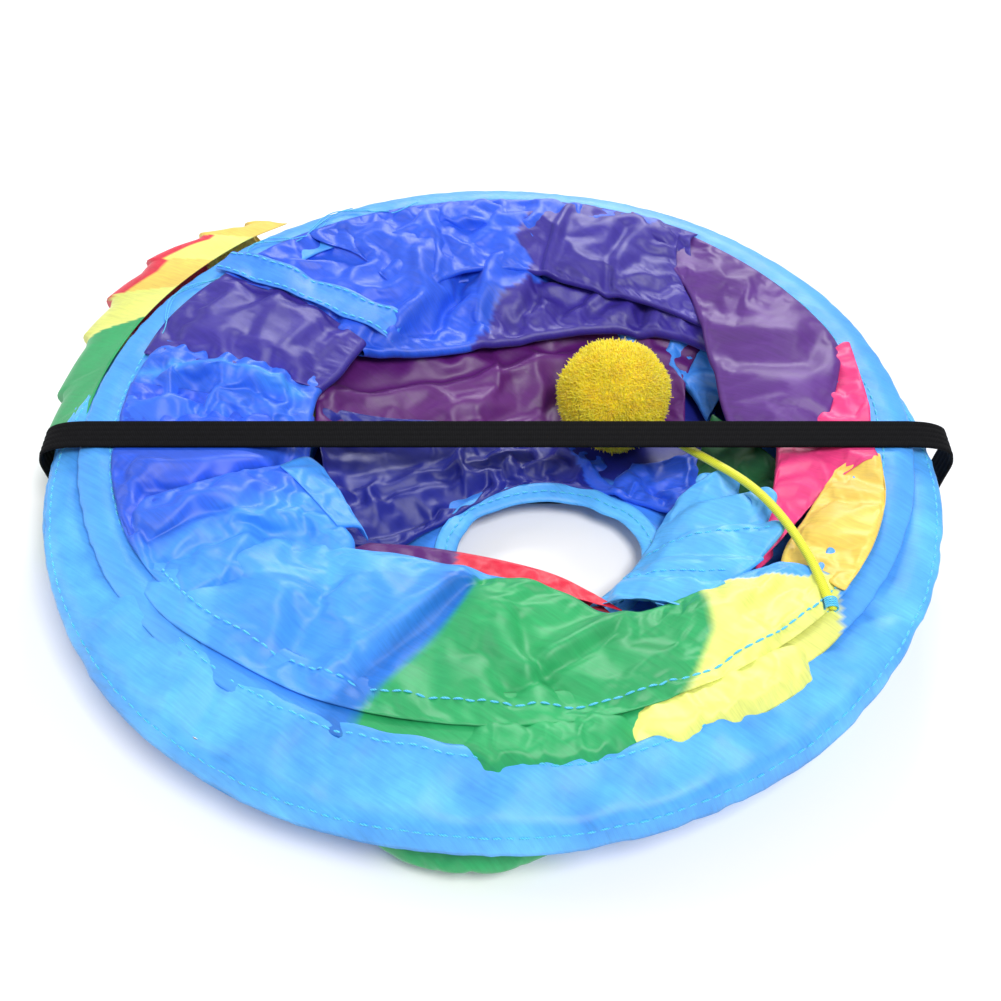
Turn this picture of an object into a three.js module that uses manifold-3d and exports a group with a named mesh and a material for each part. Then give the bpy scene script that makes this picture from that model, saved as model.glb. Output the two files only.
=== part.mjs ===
// Collapsible pet tunnel, folded flat and held by an elastic band.
// Millimetres, +Z up along the tunnel's axis, origin at the bottom centre of the folded stack.
import * as THREE from 'three';
import { mergeVertices } from 'three/addons/utils/BufferGeometryUtils.js';
import Module from 'manifold-3d';

const wasm = await Module();
wasm.setup();

// Hoops: spring wire in a flat fabric sleeve.
const HOOP_COUNT = 9;
const HOOP_RADIUS = 122.8;
const SLEEVE_WIDTH = 18;
const SLEEVE_HALF = 1.5;
const FLAP_THICKNESS = 0.4;
const RIM_THICKNESS = 1.8;
const WIRE_RADIUS = 0.8;
const WIRE_INSET = 5.5;
const FERRULE_RADIUS = 0.95;
const FERRULE_HALF_ANGLE = THREE.MathUtils.degToRad(3.6);
const WIRE_HALF_GAP = THREE.MathUtils.degToRad(3.8);
const WIRE_SIDES = 6;
const ROUND_STEPS = 36;
const PITCH = 3.3;
const GAP = 0.3;

// How far each hoop is squeezed wider than a circle, and how far it lies off the axis.
// The top hoop is an end hoop, a little smaller than the rest.
const END_HOOP_RADIUS = 117.3;
const HOOP_SET = [
  { wide: 6.0, x: -2.0, y: 2.6 },
  { wide: 5.2, x: -2.8, y: 1.4 },
  { wide: 6.2, x: -1.8, y: 2.4 },
  { wide: 5.0, x: -2.6, y: 1.2 },
  { wide: 5.8, x: -2.0, y: 2.0 },
  { wide: 6.2, x: -2.4, y: 1.2 },
  { wide: 5.4, x: -2.0, y: 1.0 },
  { wide: 4.0, x: -1.0, y: -4.6 },
  { wide: 3.7, x: 0.0, y: 10.4 },
];

// Elastic band: a closed loop round the stack, across its middle.
const BAND_WIDTH = 10;
const BAND_THICKNESS = 0.9;
const BAND_Y = 1.1;
const BAND_NOTCH = 1.3;
const BAND_SPAN = { left: 132.6, right: 132.3 };
const BAND_OVERLAP_X = -35;
const BAND_OVERLAP_LENGTH = 16;

// Fabric panels: each is folded inward between two hoops.
const PANEL_THICKNESS = 2.7;
const PANEL_STEPS = 36;
const THROAT_TOP = { x: 15, y: 0, radius: 62 };
const THROAT_BOTTOM = { x: 25, y: -3, radius: 51 };
const SEAM_ANGLE = THREE.MathUtils.degToRad(143);
const SEAM_HALF_WIDTH = 5;

// Round peep hole in the lowest panel, bound with tape.
const PEEP_CENTRE = { x: 15, y: -24, z: 8.2 };
const PEEP_OUTER = { x: 34, y: 26 };
const PEEP_TAPE_WIDTH = 8;
const PEEP_TAPE_THICKNESS = 1.4;
const FACING_CENTRE = new THREE.Vector3(50, -26, 15.5);
const FACING_SIZE = new THREE.Vector3(8, 13, 5.5);

// Pompom toy on an elastic cord, sewn to the top sleeve's inner edge.
const POMPOM_RADIUS = 17.5;
const POMPOM_BORE = 2.9;
const KNOT_RADIUS = 2.4;
const CORD_RADIUS = 1.25;
const CORD_SIDES = 8;
const CORD_STEPS = 30;
const TACK_SIZE = new THREE.Vector3(7, 3.4, 1.8);
const POMPOM_CENTRE = new THREE.Vector3(36, 27.5, 21.7);
const CORD_ROUTE = [
  [85.0, -58.6, 32.4], [84.4, -55.0, 32.4], [83.6, -50.0, 32.3], [82.4, -45.0, 32.2],
  [80.8, -39.5, 32.0], [78.9, -34.0, 31.8], [76.6, -28.5, 31.5], [73.9, -23.0, 31.0],
  [70.7, -17.6, 30.2], [67.0, -12.3, 29.0], [63.0, -7.2, 27.6], [58.8, -2.2, 26.2],
  [54.6, 2.8, 24.9], [50.6, 8.0, 23.8], [47.0, 13.0, 22.9], [43.6, 17.6, 22.2],
];

// Lowest sleeve's underside stands on the floor, and its lower flap takes the band's notch.
const FIRST_Z = SLEEVE_HALF + BAND_NOTCH;
const hoopZ = (index) => FIRST_Z + index * PITCH;
const STACK_TOP = hoopZ(HOOP_COUNT - 1) + SLEEVE_HALF;

const COLOURS = {
  binding: 0x4ba5f5,
  wire: 0x9aa0a8,
  ferrule: 0x8a8f96,
  band: 0x141416,
  pompom: 0xf7d91c,
  cord: 0xe6e628,
  panels: [0x2d50c8, 0x2fa85e, 0xf0d77d, 0xe43c8c, 0x6a3c96, 0x3c2d96, 0x2080e0, 0x3a8ff0],
};

function material(colour, roughness, metalness = 0) {
  return new THREE.MeshStandardMaterial({ color: colour, roughness, metalness });
}

const bindingMaterial = material(COLOURS.binding, 0.55);
const wireMaterial = material(COLOURS.wire, 0.3, 1);
const ferruleMaterial = material(COLOURS.ferrule, 0.4, 1);
const bandMaterial = material(COLOURS.band, 0.8);
const pompomMaterial = material(COLOURS.pompom, 0.95);
const cordMaterial = material(COLOURS.cord, 0.6);

function toSolid(geometry) {
  const bare = geometry.clone();
  bare.deleteAttribute('normal');
  bare.deleteAttribute('uv');
  const merged = mergeVertices(bare, 1e-4);
  const vertProperties = new Float32Array(merged.attributes.position.array);
  const triVerts = new Uint32Array(merged.index.array);
  return new wasm.Manifold(new wasm.Mesh({ numProp: 3, vertProperties, triVerts }));
}

function toGeometry(solid) {
  const mesh = solid.getMesh();
  const geometry = new THREE.BufferGeometry();
  geometry.setAttribute('position', new THREE.BufferAttribute(mesh.vertProperties, 3));
  geometry.setIndex(new THREE.BufferAttribute(mesh.triVerts, 1));
  geometry.computeVertexNormals();
  return geometry;
}

function named(name, geometry, surface) {
  const mesh = new THREE.Mesh(geometry, surface);
  mesh.name = name;
  return mesh;
}

class OvalArc extends THREE.Curve {
  constructor(semiX, semiY, from, to) {
    super();
    this.semiX = semiX;
    this.semiY = semiY;
    this.from = from;
    this.to = to;
  }

  getPoint(t, target = new THREE.Vector3()) {
    const angle = this.from + t * (this.to - this.from);
    return target.set(this.semiX * Math.cos(angle), this.semiY * Math.sin(angle), 0);
  }
}

function roundSection(radius, sides) {
  const shape = new THREE.Shape();
  for (let side = 0; side < sides; side += 1) {
    const angle = (2 * Math.PI * side) / sides;
    shape[side ? 'lineTo' : 'moveTo'](radius * Math.cos(angle), radius * Math.sin(angle));
  }
  shape.closePath();
  return shape;
}

function rod(curve, radius, sides, steps) {
  return new THREE.ExtrudeGeometry(roundSection(radius, sides), { steps, extrudePath: curve });
}

function semiAxes(index) {
  const { wide } = HOOP_SET[index];
  const round = index === HOOP_COUNT - 1 ? END_HOOP_RADIUS : HOOP_RADIUS;
  return { x: round + wide, y: round - wide };
}

// Flat fabric sleeve, folded over the wire and open along its inner edge.
function sleeveGeometry(index) {
  const inner = HOOP_RADIUS - SLEEVE_WIDTH;
  const channel = SLEEVE_HALF - FLAP_THICKNESS;
  const low = index === 0 ? -FIRST_Z : -SLEEVE_HALF;
  const profile = [
    [inner, low], [HOOP_RADIUS - 1, low], [HOOP_RADIUS, 0], [HOOP_RADIUS - 1, SLEEVE_HALF],
    [inner, SLEEVE_HALF], [inner, channel], [HOOP_RADIUS - RIM_THICKNESS, channel],
    [HOOP_RADIUS - RIM_THICKNESS, -channel], [inner, -channel], [inner, low],
  ].map(([radius, height]) => new THREE.Vector2(radius, height));
  const { x, y } = semiAxes(index);
  return new THREE.LatheGeometry(profile, ROUND_STEPS)
    .rotateX(Math.PI / 2)
    .scale(x / HOOP_RADIUS, y / HOOP_RADIUS, 1);
}

function notched(geometry, offset) {
  const notch = new THREE.BoxGeometry(4 * HOOP_RADIUS, BAND_WIDTH + 1, BAND_NOTCH)
    .translate(-offset.x, BAND_Y - offset.y, BAND_NOTCH / 2 - FIRST_Z);
  return toGeometry(toSolid(geometry).subtract(toSolid(notch)));
}

function wireGeometry(index) {
  const { x, y } = semiAxes(index);
  const full = 2 * Math.PI;
  const arc = new OvalArc(x - WIRE_INSET, y - WIRE_INSET, WIRE_HALF_GAP, full - WIRE_HALF_GAP);
  return rod(arc, WIRE_RADIUS, WIRE_SIDES, ROUND_STEPS);
}

function ferruleGeometry(index) {
  const { x, y } = semiAxes(index);
  const arc = new OvalArc(x - WIRE_INSET, y - WIRE_INSET, -FERRULE_HALF_ANGLE, FERRULE_HALF_ANGLE);
  return rod(arc, FERRULE_RADIUS, WIRE_SIDES, 3);
}

function hoop(index) {
  const set = HOOP_SET[index];
  const number = index + 1;
  let sleeve = sleeveGeometry(index);
  if (index === 0) sleeve = notched(sleeve, set);
  const group = new THREE.Group();
  group.add(named(`hem_sleeve_${number}`, sleeve, bindingMaterial));
  group.add(named(`spring_wire_${number}`, wireGeometry(index), wireMaterial));
  group.add(named(`wire_ferrule_${number}`, ferruleGeometry(index), ferruleMaterial));
  group.position.set(set.x, set.y, hoopZ(index));
  return group;
}

// Outer outline of a panel: just inside the sleeves above and below it.
function panelOutline(index) {
  const below = semiAxes(index);
  const above = semiAxes(index + 1);
  const lower = HOOP_SET[index];
  const upper = HOOP_SET[index + 1];
  const shift = Math.hypot(lower.x - upper.x, lower.y - upper.y) / 2;
  const inner = (HOOP_RADIUS - SLEEVE_WIDTH) / HOOP_RADIUS;
  return {
    x: (lower.x + upper.x) / 2,
    y: (lower.y + upper.y) / 2,
    semiX: Math.min(below.x, above.x) * inner - shift - 2 * GAP,
    semiY: Math.min(below.y, above.y) * inner - shift - 2 * GAP,
  };
}

// Opening left by a folded panel: higher panels leave a wider one.
function throat(index) {
  const share = index / (HOOP_COUNT - 2);
  const mix = (key) => THREE.MathUtils.lerp(THROAT_BOTTOM[key], THROAT_TOP[key], share);
  return { x: mix('x'), y: mix('y'), radius: mix('radius') };
}

function panelSolid(index) {
  const outline = panelOutline(index);
  const hole = throat(index);
  const shape = new THREE.Shape();
  for (let step = 0; step < PANEL_STEPS; step += 1) {
    const angle = (2 * Math.PI * step) / PANEL_STEPS;
    const x = outline.x + outline.semiX * Math.cos(angle);
    const y = outline.y + outline.semiY * Math.sin(angle);
    shape[step ? 'lineTo' : 'moveTo'](x, y);
  }
  shape.closePath();
  const opening = new THREE.Path();
  for (let step = 0; step < PANEL_STEPS; step += 1) {
    const angle = (-2 * Math.PI * step) / PANEL_STEPS;
    const radius = hole.radius + 1.2 * Math.sin(5 * angle + index);
    const x = hole.x + radius * Math.cos(angle);
    const y = hole.y + radius * Math.sin(angle);
    opening[step ? 'lineTo' : 'moveTo'](x, y);
  }
  opening.closePath();
  shape.holes.push(opening);
  const plate = new THREE.ExtrudeGeometry(shape, { depth: PANEL_THICKNESS, bevelEnabled: false });
  return toSolid(plate.translate(0, 0, -PANEL_THICKNESS / 2));
}

// Radial bar that stands for the side seam, used both to cut the panel and to make the tape.
function seamBar(halfWidth) {
  const length = 2 * HOOP_RADIUS;
  const bar = new THREE.BoxGeometry(length, 2 * halfWidth, 2 * PANEL_THICKNESS)
    .translate(length / 2, 0, 0)
    .rotateZ(SEAM_ANGLE);
  return toSolid(bar);
}

function panel(index) {
  const number = index + 1;
  const solid = panelSolid(index);
  const cloth = solid.subtract(seamBar(SEAM_HALF_WIDTH + GAP));
  const tape = solid.intersect(seamBar(SEAM_HALF_WIDTH));
  const group = new THREE.Group();
  const colour = material(COLOURS.panels[index], 0.45);
  group.add(named(`fabric_panel_${number}`, toGeometry(cloth), colour));
  group.add(named(`seam_tape_${number}`, toGeometry(tape), bindingMaterial));
  group.position.z = (hoopZ(index) + hoopZ(index + 1)) / 2;
  return group;
}

// The band's inner outline, all the way round.
function bandInnerOutline() {
  const top = STACK_TOP + GAP;
  const side = (span) => [
    [span - 6.6, top], [span - 1.9, top - 2.4], [span, top - 7], [span, FIRST_Z],
    [span - 1.6, BAND_THICKNESS],
  ];
  const left = side(BAND_SPAN.left).map(([x, z]) => [-x, z]).reverse();
  return [...side(BAND_SPAN.right), ...left].map(([x, z]) => new THREE.Vector2(x, z));
}

// Moves every edge of a convex outline outward by one distance.
function offsetOutline(points, distance) {
  const count = points.length;
  return points.map((point, i) => {
    const before = points[(i + count - 1) % count];
    const after = points[(i + 1) % count];
    const edgeIn = point.clone().sub(before).normalize();
    const edgeOut = after.clone().sub(point).normalize();
    const normal = new THREE.Vector2(-edgeIn.y - edgeOut.y, edgeIn.x + edgeOut.x).normalize();
    const reach = distance / normal.dot(new THREE.Vector2(-edgeIn.y, edgeIn.x));
    return point.clone().addScaledVector(normal, reach);
  });
}

// Extrudes an XZ outline along Y, centred on the band's middle.
function standingPlate(outline, width) {
  const plate = new THREE.ExtrudeGeometry(new THREE.Shape(outline), { depth: width, bevelEnabled: false })
    .rotateX(Math.PI / 2)
    .translate(0, BAND_Y + width / 2, 0);
  return toSolid(plate);
}

function elasticBand() {
  const inside = bandInnerOutline();
  const outside = offsetOutline(inside, BAND_THICKNESS);
  const block = standingPlate(outside, BAND_WIDTH);
  const loop = toGeometry(block.subtract(standingPlate(inside, 2 * BAND_WIDTH)));
  const overlap = new THREE.BoxGeometry(BAND_OVERLAP_LENGTH, BAND_WIDTH, BAND_THICKNESS)
    .translate(BAND_OVERLAP_X, BAND_Y, 1.5 * BAND_THICKNESS + GAP);
  const group = new THREE.Group();
  group.add(named('elastic_band', loop, bandMaterial));
  group.add(named('band_sewn_overlap', overlap, bandMaterial));
  return group;
}

function ovalShape(semiX, semiY, Outline) {
  const outline = new Outline();
  outline.absellipse(0, 0, semiX, semiY, 0, 2 * Math.PI, false, 0);
  return outline;
}

function peepHole() {
  const ring = ovalShape(PEEP_OUTER.x, PEEP_OUTER.y, THREE.Shape);
  const insideX = PEEP_OUTER.x - PEEP_TAPE_WIDTH;
  const insideY = PEEP_OUTER.y - PEEP_TAPE_WIDTH;
  ring.holes.push(ovalShape(insideX, insideY, THREE.Path));
  const options = { depth: PEEP_TAPE_THICKNESS, bevelEnabled: false, curveSegments: PANEL_STEPS };
  const binding = new THREE.ExtrudeGeometry(ring, options)
    .translate(PEEP_CENTRE.x, PEEP_CENTRE.y, PEEP_CENTRE.z - PEEP_TAPE_THICKNESS / 2);
  const facing = new THREE.SphereGeometry(1, 12, 8)
    .scale(FACING_SIZE.x, FACING_SIZE.y, FACING_SIZE.z)
    .translate(FACING_CENTRE.x, FACING_CENTRE.y, FACING_CENTRE.z);
  const group = new THREE.Group();
  group.add(named('peep_hole_binding', binding, bindingMaterial));
  group.add(named('peep_hole_facing', facing, bindingMaterial));
  return group;
}

function pompomToy() {
  const route = CORD_ROUTE.map((point) => new THREE.Vector3(...point));
  const lastPoint = route[route.length - 1];
  const inward = POMPOM_CENTRE.clone().sub(lastPoint).normalize();
  const cordEnd = POMPOM_CENTRE.clone().addScaledVector(inward, -(KNOT_RADIUS + GAP));
  route.push(cordEnd);
  const cord = rod(new THREE.CatmullRomCurve3(route), CORD_RADIUS, CORD_SIDES, CORD_STEPS);

  const boreLength = POMPOM_RADIUS + 2 * KNOT_RADIUS;
  const turn = new THREE.Quaternion().setFromUnitVectors(new THREE.Vector3(0, 1, 0), inward);
  const bore = new THREE.CylinderGeometry(POMPOM_BORE, POMPOM_BORE, boreLength, 12)
    .translate(0, KNOT_RADIUS + GAP - boreLength / 2, 0)
    .applyQuaternion(turn);
  const ball = new THREE.SphereGeometry(POMPOM_RADIUS, 18, 12);
  const pompom = toGeometry(toSolid(ball).subtract(toSolid(bore)));
  pompom.translate(POMPOM_CENTRE.x, POMPOM_CENTRE.y, POMPOM_CENTRE.z);
  const knot = new THREE.SphereGeometry(KNOT_RADIUS, 8, 6)
    .translate(POMPOM_CENTRE.x, POMPOM_CENTRE.y, POMPOM_CENTRE.z);

  const [startX, startY] = CORD_ROUTE[0];
  const tack = new THREE.BoxGeometry(TACK_SIZE.x, TACK_SIZE.y, TACK_SIZE.z).translate(
    startX + 1, startY - TACK_SIZE.y / 2 - GAP, STACK_TOP + GAP + TACK_SIZE.z / 2,
  );
  const group = new THREE.Group();
  group.add(named('pompom_ball', pompom, pompomMaterial));
  group.add(named('pompom_core_knot', knot, cordMaterial));
  group.add(named('pompom_cord', cord, cordMaterial));
  group.add(named('cord_sewn_tack', tack, cordMaterial));
  return group;
}

const tunnel = new THREE.Group();
for (let index = 0; index < HOOP_COUNT; index += 1) tunnel.add(hoop(index));
for (let index = 0; index < HOOP_COUNT - 1; index += 1) tunnel.add(panel(index));
tunnel.add(peepHole(), elasticBand(), pompomToy());

export default tunnel;
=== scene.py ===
# Collapsible pet tunnel, folded flat: printed satin cloth round spring hoops, held by an elastic band.
import math

import bpy
import numpy as np
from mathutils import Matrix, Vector, noise


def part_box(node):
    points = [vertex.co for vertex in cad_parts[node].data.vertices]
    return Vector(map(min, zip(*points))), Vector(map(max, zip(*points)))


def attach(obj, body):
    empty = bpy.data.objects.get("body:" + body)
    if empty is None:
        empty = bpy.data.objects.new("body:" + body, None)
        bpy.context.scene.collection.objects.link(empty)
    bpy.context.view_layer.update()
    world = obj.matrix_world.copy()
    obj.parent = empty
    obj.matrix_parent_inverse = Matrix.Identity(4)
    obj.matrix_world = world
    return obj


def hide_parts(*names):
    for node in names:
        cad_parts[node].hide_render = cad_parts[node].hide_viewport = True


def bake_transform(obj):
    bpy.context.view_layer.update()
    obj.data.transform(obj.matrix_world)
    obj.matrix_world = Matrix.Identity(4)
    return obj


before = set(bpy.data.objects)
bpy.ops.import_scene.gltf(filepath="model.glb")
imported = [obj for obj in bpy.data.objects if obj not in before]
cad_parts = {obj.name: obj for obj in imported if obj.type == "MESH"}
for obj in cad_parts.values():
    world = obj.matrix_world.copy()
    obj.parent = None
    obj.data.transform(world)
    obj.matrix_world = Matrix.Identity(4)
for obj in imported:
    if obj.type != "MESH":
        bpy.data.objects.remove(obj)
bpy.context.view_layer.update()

MM = 0.001
HOOPS = 9
SLEEVE_WIDTH = 18.0
SLEEVE_HALF = 1.5
STACK_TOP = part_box("hem_sleeve_9")[1].z / MM
BAND_MIDDLE = (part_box("elastic_band")[0].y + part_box("elastic_band")[1].y) / 2 / MM
BAND_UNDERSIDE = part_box("elastic_band")[1].z / MM - 0.9
BAND_REACH = 5.4
BAND_SLANT = 6.0
BAND_RIBS = 5
rng = np.random.default_rng(7)


# ---------------------------------------------------------------- frame sizes, in millimetres
def box_of(node):
    """A node's two corners, in millimetres."""
    return [np.array(corner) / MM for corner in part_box(node)]


def hoop_shape(number):
    low, high = box_of(f"hem_sleeve_{number}")
    return {
        "x": (low[0] + high[0]) / 2,
        "y": (low[1] + high[1]) / 2,
        "a": (high[0] - low[0]) / 2,
        "b": (high[1] - low[1]) / 2,
        "z": high[2] - SLEEVE_HALF,
    }


HOOP = {number: hoop_shape(number) for number in range(1, HOOPS + 1)}


def on_hoop(number, degrees, inset=0.0, z=None):
    """Point on a hoop's sleeve, inset from its outer edge, at an angle round its ellipse."""
    hoop = HOOP[number]
    turn = math.radians(degrees)
    height = hoop["z"] + SLEEVE_HALF if z is None else z
    return (
        hoop["x"] + (hoop["a"] - inset) * math.cos(turn),
        hoop["y"] + (hoop["b"] - inset) * math.sin(turn),
        height,
    )


# ---------------------------------------------------------------- curves and grids
def smooth_run(points, count):
    """Catmull-Rom run through given points, resampled evenly along its length."""
    p = np.asarray(points, float)
    if len(p) == 2:
        return p[0] + (p[1] - p[0]) * np.linspace(0, 1, count)[:, None]
    padded = np.vstack([2 * p[0] - p[1], p, 2 * p[-1] - p[-2]])
    t = np.linspace(0, 1, 24, endpoint=False)[:, None]
    pieces = []
    for i in range(1, len(padded) - 2):
        a, b, c, d = padded[i - 1 : i + 3]
        pieces.append(
            0.5 * (2 * b + (c - a) * t + (2 * a - 5 * b + 4 * c - d) * t**2
                   + (3 * b - a - 3 * c + d) * t**3)
        )
    dense = np.vstack(pieces + [p[-1:]])
    length = np.concatenate([[0], np.cumsum(np.linalg.norm(np.diff(dense, axis=0), axis=1))])
    want = np.linspace(0, length[-1], count)
    return np.stack([np.interp(want, length, dense[:, axis]) for axis in range(3)], 1)


def circle(turns):
    return np.stack([np.cos(turns), np.sin(turns)], 1)


def between(inner, outer, shares):
    """Rows of points that go from an inner run to an outer one."""
    return np.stack([inner * (1 - share) + outer * share for share in shares])


def ring_noise(turns, size, level, shift=0.0):
    """Smooth noise round a ring, without a jump where the ring closes."""
    return np.array([noise.noise(Vector((math.cos(t) * size + shift, math.sin(t) * size, level)))
                     for t in turns])


def loft(rows, across, along):
    """Grid of points: smooth runs along each row, then a smooth run across the rows."""
    runs = [smooth_run(row, along) for row in rows]
    return np.stack([smooth_run([run[i] for run in runs], across) for i in range(along)], 1)


def roll_under(grid, radius, back):
    """Adds a rounded fold at the grid's last row, and a hidden layer that goes back under it."""
    edge = grid[-1]
    out = edge - grid[-3]
    out[:, 2] = 0
    out /= np.linalg.norm(out, axis=1)[:, None] + 1e-9
    rows = []
    for turn in np.linspace(0.35, math.pi, 5):
        drop = np.array([0, 0, radius * (1 - math.cos(turn))])
        rows.append(edge + out * radius * math.sin(turn) - drop)
    for share in (0.2, 0.5, 1.0):
        rows.append(edge - out * back * share - np.array([0, 0, 2 * radius + 0.8 * share]))
    return np.vstack([grid, np.stack(rows)])


def wrinkle(points, size, height, seed, stretch=(1, 1, 1)):
    """Height of soft creased noise at each point."""
    out = np.empty(len(points))
    scale = np.array(stretch) / size
    for i, p in enumerate(points):
        q = Vector(p * scale) + Vector((seed * 3.1, seed * 1.7, seed))
        ridge = 1 - 2 * abs(noise.noise(q))
        out[i] = ridge + 0.5 * noise.noise(q * 2.3)
    return height * (out - out.mean())


def line_distance(xy, line):
    """Signed distance from points to a polyline: positive on its left."""
    line = np.asarray(line, float)
    best = np.full(len(xy), 1e9)
    signed = np.zeros(len(xy))
    for a, b in zip(line[:-1], line[1:]):
        d = b - a
        t = np.clip(((xy - a) @ d) / (d @ d), 0, 1)
        off = xy - (a + t[:, None] * d)
        gap = np.linalg.norm(off, axis=1)
        side = np.sign(d[0] * (xy[:, 1] - a[1]) - d[1] * (xy[:, 0] - a[0]))
        closer = gap < best - 1e-9
        best = np.where(closer, gap, best)
        signed = np.where(closer, gap * side, signed)
    return signed


def crease(points, line, height, width):
    """Raises a soft ridge, or sinks a valley, along a line."""
    gap = line_distance(points[:, :2], line)
    points[:, 2] += height * np.exp(-((gap / width) ** 2))


# ---------------------------------------------------------------- meshes
def new_mesh(name, points, faces, material):
    """A smooth-shaded object from points in millimetres."""
    mesh = bpy.data.meshes.new(name)
    mesh.from_pydata((np.asarray(points) * MM).tolist(), [], faces)
    mesh.validate()
    mesh.polygons.foreach_set("use_smooth", [True] * len(mesh.polygons))
    mesh.materials.append(material)
    obj = bpy.data.objects.new(name, mesh)
    bpy.context.scene.collection.objects.link(obj)
    return obj


def grid_faces(rows, columns, closed=False, start=0):
    """Faces of a grid of points, closed along its rows if asked."""
    faces = []
    last = columns if closed else columns - 1
    for r in range(rows - 1):
        for c in range(last):
            n = (c + 1) % columns
            a = start + r * columns
            faces.append((a + c, a + n, a + columns + n, a + columns + c))
    return faces


def tube_faces(rows, columns):
    """Faces of a grid that closes both ways."""
    faces = []
    for r in range(rows):
        a, b = r * columns, (r + 1) % rows * columns
        for c in range(columns):
            n = (c + 1) % columns
            faces.append((a + c, b + c, b + n, a + n))
    return faces


def set_tone(obj, tones):
    """Stores the print's colours at each point, with painted shade in the tones shade and green_in_shade. A
    fraction is a mix of two neighbouring tones.
    """
    table = np.array([colour for _, colour in TONES])
    tones = np.clip(np.asarray(tones, float), 0, len(TONES) - 1)
    low = np.floor(tones).astype(int)
    high = np.minimum(low + 1, len(TONES) - 1)
    share = (tones - low)[:, None]
    print_and_shade = np.ones((len(tones), 4), np.float32)
    print_and_shade[:, :3] = table[low] * (1 - share) + table[high] * share
    attribute = obj.data.attributes.new("print_and_shade", "FLOAT_COLOR", "POINT")
    attribute.data.foreach_set("color", print_and_shade.ravel())


def apply_modifiers(obj):
    dg = bpy.context.evaluated_depsgraph_get()
    mesh = bpy.data.meshes.new_from_object(obj.evaluated_get(dg))
    obj.modifiers.clear()
    obj.data = mesh


def thicken(obj, thickness=0.22, levels=1):
    """Gives a sheet its real thickness and rounds it, then makes that its final mesh."""
    if levels:
        sub = obj.modifiers.new("round", "SUBSURF")
        sub.levels = levels
        sub.render_levels = levels
    solid = obj.modifiers.new("thick", "SOLIDIFY")
    solid.thickness = thickness * MM
    solid.offset = 0
    apply_modifiers(obj)


# Sheets are simulated at this many times their real size, over this many frames.
SIM_SCALE = 10.0
SIM_FRAMES = 22
CLOTH = {
    "quality": 6, "mass": 0.2, "tension_stiffness": 25, "compression_stiffness": 25,
    "shear_stiffness": 8, "bending_stiffness": 0.35, "tension_damping": 8,
    "compression_damping": 8, "air_damping": 2,
}


def settle(points, faces, pinned, excess, cap):
    """Cloth simulation of a pinned sheet that holds more cloth than its outline, so it buckles.

    No point moves further than about cap."""
    obj = new_mesh("settling", points * SIM_SCALE, faces, None)
    group = obj.vertex_groups.new(name="pin")
    group.add([int(i) for i in np.flatnonzero(pinned)], 1.0, "ADD")
    cloth = obj.modifiers.new("Cloth", "CLOTH")
    for key, value in CLOTH.items():
        setattr(cloth.settings, key, value)
    cloth.settings.shrink_min = -excess
    cloth.settings.vertex_group_mass = "pin"
    cloth.settings.effector_weights.gravity = 0.0
    cloth.collision_settings.use_collision = False
    cloth.point_cache.frame_start = 1
    cloth.point_cache.frame_end = SIM_FRAMES
    scene = bpy.context.scene
    for number in range(1, SIM_FRAMES + 1):
        scene.frame_set(number)
    dg = bpy.context.evaluated_depsgraph_get()
    co = np.zeros(len(points) * 3)
    obj.evaluated_get(dg).data.vertices.foreach_get("co", co)
    moved = co.reshape(-1, 3) / MM / SIM_SCALE
    bpy.data.objects.remove(obj)
    scene.frame_set(1)
    step = moved - points
    size = np.linalg.norm(step, axis=1)[:, None]
    return points + step * (cap * np.tanh(size / cap)) / (size + 1e-9)


# ---------------------------------------------------------------- materials
TONES = [
    ("royal", (0.030, 0.145, 0.80)),
    ("sky", (0.055, 0.30, 0.90)),
    # shade is a darker copy of sky: painted shade, used on the near fold in the strip between BLUE_EDGE and
    # GREEN_EDGE.
    ("shade", (0.015, 0.17, 0.62)),
    ("green", (0.022, 0.36, 0.115)),
    ("lemon", (0.80, 0.84, 0.20)),
    ("gold", (0.85, 0.60, 0.11)),
    ("pink", (0.82, 0.045, 0.22)),
    ("purple", (0.100, 0.026, 0.225)),
    ("indigo", (0.040, 0.024, 0.29)),
    ("royal_2", (0.020, 0.100, 0.72)),
    ("sky_2", (0.05, 0.26, 0.86)),
    ("magenta", (0.105, 0.012, 0.160)),
    ("navy", (0.010, 0.016, 0.26)),
    ("crimson", (0.72, 0.015, 0.05)),
    ("green_in_shade", (0.006, 0.10, 0.030)),
    # green_in_shade is the print's green darkened: painted shade, for cloth deep in the throat.
    ("binding", (0.075, 0.36, 0.92)),
    ("pale_sky", (0.11, 0.47, 0.95)),
]
TONE = {name: index for index, (name, _) in enumerate(TONES)}


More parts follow.
